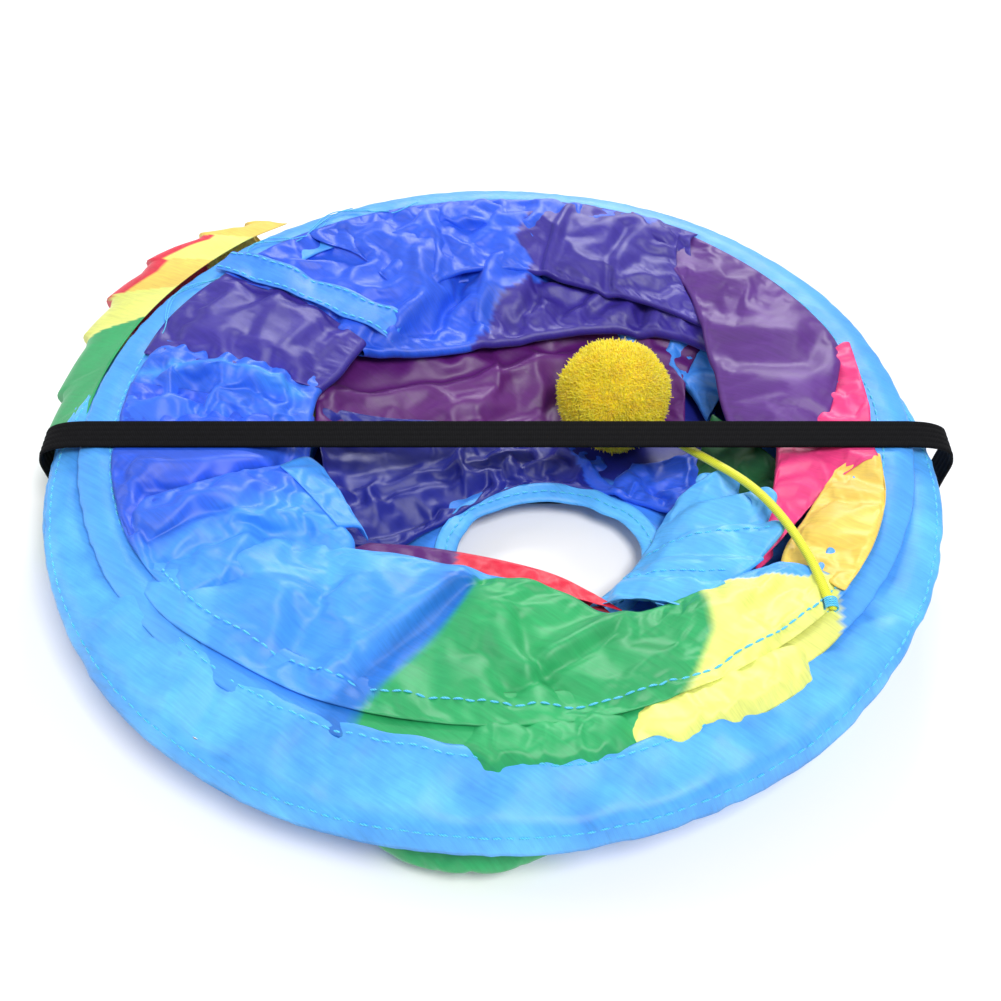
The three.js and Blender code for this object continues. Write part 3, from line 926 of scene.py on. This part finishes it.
def far_folds():
    """The far wall of the throat, with a flap of cloth that hangs over it."""
    wall = [
        [(-84, 71, 29.2), (-68, 86, 29.2), (-47, 98.5, 29.2), (-22, 106, 29.2), (2, 108.4, 29.2),
         (24, 106, 29.2), (46, 99.5, 29.2), (64, 90, 29.2)],
        [(-62, 62, 28.6), (-50, 73, 28.4), (-33, 82, 28), (-12, 86, 27.4), (8, 88, 27),
         (28, 87, 27), (50, 84, 27), (66, 75, 27)],
        [(-43.5, 47, 24), (-35, 47.5, 22.5), (-20, 50, 21.5), (-3, 54.5, 20.5), (16, 59.5, 20.2),
         (36, 62, 20.5), (58, 58, 21), (72, 48, 22)],
    ]
    wall_creases = [
        ([(-28, 84), (-26, 70), (-34, 52)], 2.4, 3.4), ([(-12, 88), (-14, 72), (-22, 56)], -2.2, 3.0),
        ([(0, 84), (-4, 70), (-6, 56)], 1.8, 3.2), ([(14, 86), (14, 74), (6, 60)], -1.4, 3.4),
        ([(40, 86), (36, 76), (26, 66)], 1.8, 3.0), ([(56, 84), (50, 72), (46, 62)], -2.0, 3.0),
    ]
    flap = [
        [(-60, 91.5, 30), (-42, 100.5, 30), (-20, 106.6, 30), (2, 108.6, 30), (24, 106.6, 30),
         (46, 99.6, 30), (60, 91, 29.5)],
        [(-46, 86, 30), (-30, 88, 30.4), (-14, 92, 30.4), (4, 94, 30.2), (24, 90, 30.2), (44, 85, 30),
         (60, 78, 28.5)],
        [(-36, 74, 28.6), (-24, 71.5, 28.2), (-12, 81, 28.4), (6, 82.5, 28), (24, 76, 27.6),
         (50, 66, 26.8), (66, 58, 25)],
    ]
    flap_creases = [
        ([(24, 106), (20, 92), (16, 78)], 1.5, 2.2), ([(44, 98), (38, 86), (36, 72)], -1.6, 2.4),
        ([(-24, 104), (-20, 92), (-20, 76)], 1.4, 2.6),
    ]
    wall_edge = [(-14, 44), (-3, 58), (0, 70), (10, 79), (26, 84), (40, 92)]
    flap_edge = [(8, 74), (12, 86), (6, 94), (14, 112)]
    return [
        (build_patch(lapped(wall), 40, 120, wall_creases, seed=17, size=12, height=1.5, fold=(1.9, 8),
                     excess=0.16, cap=4.8), two_tones("indigo", "royal_2", wall_edge)),
        (build_patch(lapped(flap), 32, 100, flap_creases, seed=41, size=14, height=1.2, fold=(1.0, 6),
                     excess=0.11, cap=3.4), two_tones("indigo", "royal_2", flap_edge)),
    ]


def right_folds():
    """The broad purple flap, then the pink and gold folds, down the right side."""
    purple = [
        [(44, 103, 30.6), (62, 90, 30.6), (79, 74, 30.6), (92, 56, 30.6), (99.5, 38, 30.4),
         (97, 24, 29.2), (91, 8, 28)],
        [(48, 97, 30.6), (62, 82, 31.2), (75, 66, 31.4), (84, 50, 31.2), (87, 34, 30.4),
         (85, 20, 29.4), (82, 7, 27.6)],
        [(52, 92, 29.4), (62, 74, 28.8), (65.5, 62, 27.6), (67, 48, 26.6), (68.5, 36, 25.6),
         (69.5, 22, 24.6), (72, 6, 24)],
    ]
    purple_creases = [
        ([(66, 54), (78, 48), (92, 44)], 1.5, 4.0), ([(68, 34), (80, 26), (92, 22)], 1.2, 5.0),
        ([(66, 42), (80, 36), (94, 32)], -0.9, 4.0),
    ]
    pink = [
        [(104, 38, 30), (104.5, 22, 29.6), (104.5, 6, 29.4), (103, -10, 29.2)],
        [(95, 30, 29), (93, 14, 28.4), (92, -2, 28.4), (93, -16, 28)],
        [(88, 22, 26), (83, 5, 26), (80, -10, 25.4), (72, -38, 21)],
    ]
    pink_creases = [
        ([(103, 0), (92, -2), (80, -8)], 1.2, 3.0), ([(100, -14), (88, -20), (76, -30)], -1.4, 3.4),
    ]
    gold = [
        [(104, -7, 30), (102, -24, 30), (95.5, -40, 30), (86, -54, 30)],
        [(100, -8, 29.8), (94, -24, 29.4), (88, -36, 29), (83, -47, 29)],
        [(96.5, -10, 28.6), (88, -24, 27.6), (80, -36, 26.4), (77, -44, 26)],
    ]
    gold_creases = [([(100, -22), (92, -30), (84, -40)], 1.2, 3.6)]
    return [
        (build_patch(lapped(purple, 5.6), 34, 90, purple_creases, seed=9, size=24, height=0.8,
                     fold=(1.5, 8), excess=0.03, cap=2.2), "purple"),
        (build_patch(lapped(pink, 4.4, 1.3), 30, 54, pink_creases, seed=14, size=10, height=1.0,
                     fold=(1.6, 7), excess=0.10, cap=2.6), "pink"),
        (build_patch(lapped(gold, 4.4, 1.3), 26, 50, gold_creases, seed=25, size=13, height=0.8,
                     fold=(1.3, 7), cap=2.2), "gold"),
    ]


def slit_folds():
    """Narrow folds that peep out between the top sleeve and the one below it, on the near side."""
    pieces = []
    for first, last, tone, seed in ((264, 288, "green", 33), (284, 313, "lemon", 35)):
        rows = []
        for z, inset in ((31.0, 9.5), (32.3, 6.0), (32.6, 2.0), (31.6, -1.2), (28.5, -4.0)):
            row = [on_hoop(9, turn, inset, z) for turn in np.linspace(first, last, 9)]
            for place, depth in ((0, 5.5), (1, 1.6), (-2, 1.6), (-1, 5.5)):
                row[place] = (row[place][0], row[place][1], row[place][2] - depth)
            rows.append(row)
        pieces.append((build_patch(rows, 18, 60, seed=seed, size=9, height=0.7, excess=0.05, cap=1.0), tone))
    return pieces


def top_panel():
    pieces = [near_fold()] + left_folds() + upper_left_folds() + far_folds()
    pieces += right_folds() + slit_folds()
    obj = patch_mesh("top_panel", pieces)
    thicken(obj)
    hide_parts("fabric_panel_8")
    hang_between(obj)
    return obj


def lay_on(grid, obj):
    """Lowers or raises each row of points on to the highest cloth near it, evened out along it."""
    cloth = np.array([v.co for v in obj.data.vertices]) / MM
    flat = grid.reshape(-1, 3)
    box = (cloth[:, 0] > flat[:, 0].min() - 6) & (cloth[:, 0] < flat[:, 0].max() + 6)
    box &= (cloth[:, 1] > flat[:, 1].min() - 6) & (cloth[:, 1] < flat[:, 1].max() + 6)
    near = cloth[box]
    for point in flat:
        gap = np.hypot(near[:, 0] - point[0], near[:, 1] - point[1])
        point[2] = near[gap < max(3.6, gap.min() + 0.5), 2].max() + 0.5
    weights = np.array([1, 2, 3, 2, 1]) / 9.0
    for row in flat.reshape(grid.shape):
        row[:, 2] = np.convolve(np.pad(row[:, 2], 2, mode="edge"), weights, mode="valid")
    return flat.reshape(grid.shape)


def seam_strip(top):
    """Double-stitched tape along the wall's side seam, laid on the top panel."""
    start, end = np.array((-90, 80.5)), np.array((-31, 53.5))
    along = np.linspace(0, 1, 60)
    line = start + (end - start) * along[:, None]
    side = np.array((end - start)[::-1]) * (1, -1)
    side = side / np.linalg.norm(side)
    offsets = (-5.2, -4.0, -2.0, 0.0, 2.0, 4.0, 5.2)
    grid = np.stack([np.column_stack([line + side * offset, np.zeros(60)]) for offset in offsets])
    grid = lay_on(grid, top)
    grid[:, :, 2] -= 3.4 * np.clip((along - 0.88) / 0.12, 0, 1) ** 2
    obj = patch_mesh("seam_tape", [(grid, "sky_2")])
    thicken(obj, 0.3)
    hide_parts("seam_tape_8")
    hang_between(obj)
    for label, column in (("a", 1), ("b", 5)):
        sew(f"seam_tape_stitches_{label}", grid[column] + (0, 0, 0.3))


def under_layer():
    """The top panel's lower layer: from the second hoop's sleeve in to where the top folds end."""
    hoop = HOOP[STANDING_HOOP]
    around, across = 180, 14
    inner = smooth_run(FOLD_ENDS + FOLD_ENDS[:1], around + 1)[:-1]
    turns = np.degrees(np.arctan2(inner[:, 1] - hoop["y"], inner[:, 0] - hoop["x"]))
    outer = np.array([on_hoop(STANDING_HOOP, turn, SLEEVE_WIDTH - 2.0, hoop["z"]) for turn in turns])
    share = np.linspace(0, 1, across)
    flat = between(inner, outer, share).reshape(-1, 3)
    flat[:, 2] += wrinkle(flat, 12, 0.5, 29) * np.repeat(np.sin(np.pi * share), around)
    obj = new_mesh("top_panel_under", press(flat), grid_faces(across, around, closed=True), PRINTED)
    place = np.searchsorted([end for end, _ in UNDER_TONES], np.tile(turns % 360, across), side="right")
    set_tone(obj, np.array([TONE[name] for _, name in UNDER_TONES])[place])
    thicken(obj, 0.2, levels=0)
    hang_between(obj)


# ---------------------------------------------------------------- panels below
THROAT_LOWEST = np.array((25.0, -3.0))
THROAT_HIGHEST = np.array((15.0, 0.0))
THROAT_RADIUS = 72.0
THROAT_STEP = 3.5
PANEL_AROUND = 150
STRIPES = 9
# Share of the way out from the inner fold, and height above the middle, of a panel's upper layer.
FOLD_PROFILE = [(1, 1.0), (0.85, 1.1), (0.65, 1.15), (0.45, 1.15), (0.25, 1.1), (0.1, 0.9), (0.03, 0.5)]


def lower_panel(panel):
    """A whole ring of cloth, folded inward: upper layer, inner fold, lower layer."""
    lower, upper = HOOP[panel], HOOP[panel + 1]
    turns = np.linspace(0, 2 * math.pi, PANEL_AROUND, endpoint=False)
    middle = (lower["z"] + upper["z"]) / 2
    throat = THROAT_LOWEST + (THROAT_HIGHEST - THROAT_LOWEST) * (panel - 1) / 7
    inner = throat + circle(turns) * (THROAT_RADIUS + THROAT_STEP * (panel - 1))
    low, high = (corner[:2] for corner in box_of(f"fabric_panel_{panel}"))
    centre = (low + high) / 2
    outer = centre + circle(turns) * ((high - low) / 2 - 0.5)
    rows = []
    for share, rise in FOLD_PROFILE + [(0, 0)] + [(share, -rise) for share, rise in FOLD_PROFILE[::-1]]:
        xy = inner * (1 - share) + outer * share
        rows.append(np.column_stack([xy, np.full(PANEL_AROUND, middle + rise)]))
    points = np.vstack(rows)
    weight = np.repeat(np.sin(np.pi * np.linspace(0, 1, len(rows))) ** 0.5, PANEL_AROUND)
    points[:, :2] += (wrinkle(points, 12, 1.0, panel * 3, (1, 1, 0))[:, None] * weight[:, None]
                      * (points[:, :2] - centre) / 90)
    points[:, 2] += wrinkle(points, 13, 0.12, panel * 5, (1, 1, 3)) * weight
    obj = new_mesh(f"panel_{panel}", points, grid_faces(len(rows), PANEL_AROUND, closed=True), PRINTED)
    turn = (np.tile(turns, len(rows)) / (2 * math.pi) * STRIPES + panel * 2.3) % STRIPES
    whole = np.floor(turn)
    set_tone(obj, whole + np.clip((turn - whole - 0.9) * 10, 0, 1) * (whole < STRIPES - 1))
    thicken(obj, 0.2, levels=0)
    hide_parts(f"fabric_panel_{panel}", f"seam_tape_{panel}")
    hang_between(obj)


# ---------------------------------------------------------------- layers in the throat
def throat_floor():
    """The lowest panel's cloth round the peep hole, out to the stack's inner folds."""
    low, high = box_of("peep_hole_binding")
    around, across = 140, 22
    turns = np.linspace(0, 2 * math.pi, around)
    inner = ((low + high) / 2)[:2] + circle(turns) * ((high - low) / 2 - 2.5)[:2]
    outer = THROAT_LOWEST + (THROAT_RADIUS + 4) * circle(turns)
    share = np.linspace(0, 1, across)
    heights = np.repeat(3.8 + 4.6 * (1 - share) ** 3, around)
    flat = np.column_stack([between(inner, outer, share).reshape(-1, 2), heights])
    radial = np.sin(np.tile(turns, across) * 13 + 0.6 * np.repeat(share, around)) * 0.3
    flat[:, 2] += (wrinkle(flat, 13, 0.35, 83) + radial) * np.repeat(np.sin(np.pi * share) ** 0.7, around)
    side = [(-40, 6), (0, 6), (34, 4), (60, 14), (96, 30)]
    return flat.reshape(across, around, 3), two_tones("sky_2", "navy", side)


def deep_layers():
    """The loose layers low in the throat, each as (grid, tone)."""
    magenta = [
        [(-60, 38, 18.5), (-40, 58, 18.5), (-10, 68, 18.5), (20, 74, 18.5), (48, 76, 18), (72, 64, 18)],
        [(-56, 26, 20), (-36, 40, 17), (-8, 49, 15.5), (18, 56, 14.5), (42, 58, 13), (62, 48, 12)],
        [(-55, 12, 18.5), (-36, 18, 13), (-8, 22, 10.5), (18, 27, 5.4), (38, 40, 3.4), (60, 32, 6)],
    ]
    magenta_creases = [
        ([(-50, 30), (-10, 42), (30, 56)], 1.8, 3.0), ([(-44, 36), (-6, 48), (30, 62)], -1.4, 2.6),
        ([(-40, 22), (0, 30), (20, 40)], -1.6, 3.0),
    ]
    satin_blue = [
        [(-56, 26, 19), (-36, 26, 13.6), (-8, 26, 10.4), (20, 22, 5.6), (44, 14, 5.0), (70, 20, 8)],
        [(-52, 4, 18), (-34, 5, 13), (-12, 9, 11), (16, 9, 9.6), (42, 7, 9.2), (70, 4, 12)],
        [(-44, -26, 17), (-30, -24, 12), (-19, -15, 10), (10, 2, 9.8), (40, -4, 9.6), (60, -16, 14)],
    ]
    blue_creases = [
        ([(-40, -12), (-10, 4), (20, 10)], 2.2, 2.6), ([(-50, 2), (-24, 12), (6, 18)], -1.8, 2.6),
        ([(-46, -8), (-20, 6), (10, 14)], 1.8, 2.2), ([(20, 16), (30, 8), (36, -2)], 2.2, 2.2),
        ([(36, 16), (44, 6), (50, -6)], -1.8, 2.2), ([(-36, -20), (-20, -10), (-4, 2)], -1.6, 2.0),
    ]
    crimson = [
        [(-48, -34, 18), (-28, -36, 18), (-6, -40, 18), (16, -46, 18), (34, -52, 18)],
        [(-36, -28, 17.4), (-20, -30, 17.8), (0, -34.6, 17.8), (16, -39.5, 17.4), (27, -45.5, 16.6)],
    ]
    blue = [
        [(30, 78, 23), (50, 76, 22), (72, 66, 21), (82, 48, 21)],
        [(37, 67, 17), (52, 63, 16.4), (66, 53, 15.6), (74, 40, 15)],
        [(46, 56, 11), (54, 52, 10.6), (62, 43, 10.4), (67, 30, 10)],
    ]
    green = [
        [(66, 22, 19), (76, 10, 20), (86, -4, 21)],
        [(62, 12, 12), (70, 0, 14), (79, -14, 16)],
        [(59, 4, 8), (66, -8, 9), (76, -20, 12)],
    ]
    return [
        throat_floor(),
        (build_patch(magenta, 30, 80, magenta_creases, seed=51, size=15, height=1.2, fold=(1.4, 6),
                     excess=0.10, cap=3), "magenta"),
        (build_patch(satin_blue, 34, 100, blue_creases, seed=57, size=13, height=1.8, fold=(1.0, 5),
                     excess=0.14, cap=3.8), two_tones("navy", "royal_2", [(12, 40), (24, 12), (32, -8)])),
        (build_patch(crimson, 12, 60, seed=61, size=12, height=0.3, fold=(1.2, 6), excess=0.03, cap=1),
         two_tones("magenta", "crimson", [(-9, -20), (-11, -34), (-14, -60)])),
        (build_patch(blue, 24, 44, [([(56, 70), (58, 58), (58, 46)], 2.0, 2.4)], seed=66, size=12,
                     height=1.2, fold=(1.2, 6), excess=0.12, cap=3.0), "sky_2"),
        # This green cloth's darker tone is painted shade, deep in the throat.
        (build_patch(green, 20, 34, seed=71, size=9, height=1.0, cap=2), "green_in_shade"),
    ]


def peep_binding():
    """Stitched binding round the peep hole, a little ruffled."""
    low, high = box_of("peep_hole_binding")
    centre, half = (low + high) / 2, (high - low) / 2
    count = 160
    turns = np.linspace(0, 2 * math.pi, count, endpoint=False)
    ruffle = ring_noise(turns, 2.6, 3.3)
    rows = []
    for width, rise in ((0, 0.0), (0.4, 0.7), (1.6, 0.95), (3.4, 0.7), (5.0, 0.9), (6.2, 0.5),
                        (6.6, 0.0), (6.2, -0.5), (3.4, -0.5), (0.4, -0.5)):
        x = centre[0] + (half[0] - width + 1.5 * ruffle) * np.cos(turns)
        y = centre[1] + (half[1] - width + 1.5 * ruffle) * np.sin(turns)
        z = centre[2] + 0.6 + rise + 1.2 * np.roll(ruffle, 9) - 0.15 * width
        rows.append(np.stack([x, y, z], 1))
    obj = new_mesh("peep_binding", np.vstack(rows), tube_faces(len(rows), count), BINDING)
    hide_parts("peep_hole_binding")
    hang_between(obj)
    line = np.vstack([rows[3], rows[3][:1]]) + (0, 0, 0.1)
    sew("peep_binding_stitches", line, pitch=2.8)


def gathered_facing():
    """Light cloth bunched up beside the peep hole, with its hem standing out in folds."""
    base = [(25, -48, 14), (31, -41, 11.5), (38, -32, 9.6), (44, -23, 9.6), (49, -13, 10.5)]
    top = [(44, -60, 27.5), (59, -51, 28.5), (71, -41, 28), (77, -28, 27.5), (73, -15, 26), (62, -8, 24)]
    along = 90
    low = smooth_run(base, along)
    high = smooth_run(top, along)
    u = np.linspace(0, 1, along)
    rows = []
    for share in np.linspace(0, 1, 26):
        lift = 3.0 * math.sin(math.pi * share)
        pleat = np.sin(u * 2 * math.pi * 5.3 + 0.8 + 0.5 * share) * (0.6 + 2.2 * share)
        pleat += np.sin(u * 2 * math.pi * 11.0 + 2.0) * 0.6 * share
        bunched = np.stack([0.75 * pleat, 0.35 * pleat, pleat * 0.9 + lift], 1)
        rows.append(low * (1 - share) + high * share + bunched)
    grid = np.stack(rows)
    flat = grid.reshape(-1, 3)
    flat[:, 2] += wrinkle(flat, 9, 0.5, 77)
    pinned = np.ones(grid.shape[:2], bool)
    pinned[1:-1, 1:-1] = False
    flat = settle(flat, grid_faces(*grid.shape[:2]), pinned.ravel(), 0.06, 2.0)
    grid = roll_under(flat.reshape(grid.shape), 0.9, 6)
    obj = patch_mesh("gathered_facing", [(grid, "pale_sky")])
    thicken(obj, 0.25)
    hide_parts("peep_hole_facing")
    hang_between(obj)
    for number, column in enumerate((30, 52)):
        line = grid[1:25, column] + (0, 0, 0.2)
        sew(f"facing_stitches_{number + 1}", line, pitch=2.8)


def throat_cloth():
    obj = patch_mesh("throat_folds", deep_layers())
    thicken(obj)
    hang_between(obj)


# ---------------------------------------------------------------- cloth that stands out past the hoops
PLEATS = 8
PLEAT_INNER = ["sky", "green", "green", "green", "lemon", "gold", "lemon", "gold"]
PLEAT_OUTER = ["green", "green", "green", "green", "lemon", "crimson", "crimson", "gold"]


def outer_pleats():
    """Slack cloth that bulges out past the hoops at the left, in narrow pleats."""
    inner = [(-122, -14, 24), (-122, 10, 27), (-119, 32, 29), (-112, 54, 30), (-101, 74, 30.4),
             (-86, 92, 30.6), (-72, 103, 30.4)]
    outer = [(-130, -20, 10), (-137, 12, 13), (-136.5, 40, 17), (-132, 62, 20), (-124, 82, 23),
             (-107, 99, 26), (-84, 107, 28)]
    under = [(-126, -20, 4), (-131, 12, 4.6), (-130, 40, 5.6), (-124, 62, 8), (-115, 80, 11),
             (-100, 94, 15), (-80, 103, 20)]
    along, across = 200, 26
    grid = loft((inner, outer, under), across, along)
    u = np.linspace(0, 1, along)
    v = np.linspace(0, 1, across)
    fade = np.sin(np.pi * v) ** 0.8
    saw = np.abs(((u * PLEATS + 0.12 * np.sin(u * 21)) % 1.0) - 0.72) / 0.72
    outward = smooth_run(outer, along) - smooth_run(inner, along)
    outward /= np.linalg.norm(outward, axis=1)[:, None]
    grid = grid + outward[None] * (saw[None, :, None] * 5.4 - 3.2) * fade[:, None, None]
    flat = grid.reshape(-1, 3)
    flat += (wrinkle(flat, 12, 0.5, 91)[:, None] * (0.4, 0.4, 0.5)) * np.repeat(fade, along)[:, None]
    band = BAND_MIDDLE + BAND_SLANT * (1 - flat[:, 2] / STACK_TOP)
    off = np.maximum(np.abs(flat[:, 1] - band) - BAND_REACH, 0)
    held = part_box("elastic_band")[0].x / MM + 1.9 - 0.8 * off
    flat[:, 0] = np.where(off < 8, np.maximum(flat[:, 0], held), flat[:, 0])
    share = np.repeat(v, along)
    pleat = ((np.tile(u, across) + 0.05 * (share - 0.5)) * PLEATS).astype(int).clip(0, PLEATS - 1)
    near_rim, far_edge = (np.array([TONE[name] for name in names])[pleat]
                          for names in (PLEAT_INNER, PLEAT_OUTER))
    obj = new_mesh("outer_pleats", flat, grid_faces(across, along), PRINTED)
    set_tone(obj, np.where(share > 0.42, far_edge, near_rim))
    thicken(obj, 0.25, levels=0)
    hang_between(obj)


def near_bulge():
    """A little green cloth that hangs out under the near side of the stack."""
    rows = [
        [(-32, -110, 16), (-22, -112.5, 17), (-6, -113.5, 17), (8, -113, 17), (20, -110.5, 16)],
        [(-29, -114, 9), (-20, -119, 9.6), (-6, -121.6, 10), (6, -119.4, 9.6), (17, -114, 9)],
        [(-27, -111, 3), (-18, -114.6, 3), (-6, -116.4, 3), (5, -115, 3), (15, -111, 3)],
    ]
    grid = build_patch(rows, 16, 60, seed=97, size=9, height=0.5, excess=0.05, cap=0.9)
    obj = patch_mesh("near_bulge", [(grid, "green")])
    thicken(obj, 0.25)
    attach(obj, "hoop_2")


# ---------------------------------------------------------------- elastic band
def elastic_band():
    """Ribbed band round the whole stack. Its lower run lies further back than its upper one."""
    low, high = box_of("elastic_band")
    top = high[2] - 0.45

    def side(reach):
        return [(0, top), (60, top), (reach - 22, top), (reach - 12, top - 0.1), (reach - 6.5, top - 1.0),
                (reach - 2.4, top - 3.2), (reach - 0.9, top - 6), (reach, top - 10), (reach, 14),
                (reach, 6.5), (reach - 0.8, 3), (reach - 2.6, 0.9), (reach - 6, 0.45),
                (reach - 24, 0.45), (60, 0.45), (0, 0.45)]

    right = [(x, 0, z) for x, z in side(high[0] - 0.45)]
    left = [(-x, 0, z) for x, z in side(-low[0] - 0.45)[::-1]][1:-1]
    ring = smooth_run(right + left + [right[0]], 420)[:-1]
    forward = np.roll(ring, -1, 0) - np.roll(ring, 1, 0)
    forward /= np.linalg.norm(forward, axis=1)[:, None]
    normal = np.cross(forward, (0, 1, 0))
    across = np.linspace(-1, 1, 41)
    ribbing = 0.36 + 0.12 * np.abs(np.cos(across * math.pi * BAND_RIBS / 2)) * (np.abs(across) < 0.98)
    section = [(a * 5.0, -r) for a, r in zip(across, ribbing)]
    section += [(a * 5.0, r * 0.9) for a, r in zip(across[::-1], ribbing[::-1])]
    rows = []
    for offset, lift in section:
        run = ring + normal * -lift
        run[:, 1] = (low[1] + high[1]) / 2 + offset + BAND_SLANT * (1 - ring[:, 2] / top)
        rows.append(run)
    band = new_mesh("band", np.vstack(rows), tube_faces(len(rows), len(ring)), ELASTIC)
    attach(band, "retaining_band")
    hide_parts("elastic_band")


def loose_threads():
    """Overlock thread ends along the far-left part of the top sleeve's gathered seam."""
    for number in range(9):
        start = 104 + 5.6 * number
        route = []
        for step in range(9):
            turn = start + step * (1.6 + 0.25 * math.sin(number))
            inset = 7.0 + 3.6 * math.sin(number * 2.1 + step * 0.55)
            route.append(on_hoop(9, turn, inset, STACK_TOP + 0.95 + 0.35 * math.sin(step * 1.3 + number)))
        thread = sweep(f"loose_thread_{number + 1}", smooth_run(route, 40), 0.17, 6, STITCH)
        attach(thread, "hoop_9")


def paint_kept_parts():
    """Gives the CAD parts that stay in the picture their materials."""
    kept = {"spring_wire": STEEL, "wire_ferrule": STEEL, "pompom_core_knot": CORD,
            "band_sewn_overlap": ELASTIC}
    for name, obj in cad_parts.items():
        for start, material in kept.items():
            if name.startswith(start):
                obj.data.materials.clear()
                obj.data.materials.append(material)


# ---------------------------------------------------------------- stage
def stage():
    """Floor, soft daylight and three lamps."""
    bpy.ops.mesh.primitive_plane_add(size=6)
    floor = bpy.context.object
    floor.name = "floor"
    nodes = Nodes("pale_floor")
    colour = nodes.ramp(nodes.noise(4), (0.3, (0.90, 0.90, 0.91)), (0.7, (0.93, 0.93, 0.94)))
    floor.data.materials.append(nodes.shade({"Base Color": colour, "Roughness": 0.9}))
    world = bpy.data.worlds.new("world")
    bpy.context.scene.world = world
    world.use_nodes = True
    background = world.node_tree.nodes["Background"]
    background.inputs["Color"].default_value = (0.97, 0.98, 1.0, 1)
    background.inputs["Strength"].default_value = 0.42
    for name, place, size, power in (
        ("key", (0.25, -0.45, 0.95), 0.36, 8.6),
        ("rear", (0.15, 0.95, 0.60), 0.36, 7.0),
        ("side", (-0.9, 0.1, 0.55), 0.40, 2.5),
    ):
        data = bpy.data.lights.new(name, "AREA")
        data.size = size
        data.energy = power
        lamp = bpy.data.objects.new(name, data)
        lamp.location = place
        aim = Vector((0, 0, 0.02)) - Vector(place)
        lamp.rotation_euler = aim.to_track_quat("-Z", "Y").to_euler()
        bpy.context.scene.collection.objects.link(lamp)
    bpy.context.scene.view_settings.view_transform = "Standard"


top = top_panel()
seam_strip(top)
under_layer()
for panel in range(1, HOOPS - 1):
    lower_panel(panel)
throat_cloth()
peep_binding()
gathered_facing()
outer_pleats()
near_bulge()
elastic_band()
loose_threads()
paint_kept_parts()
stage()
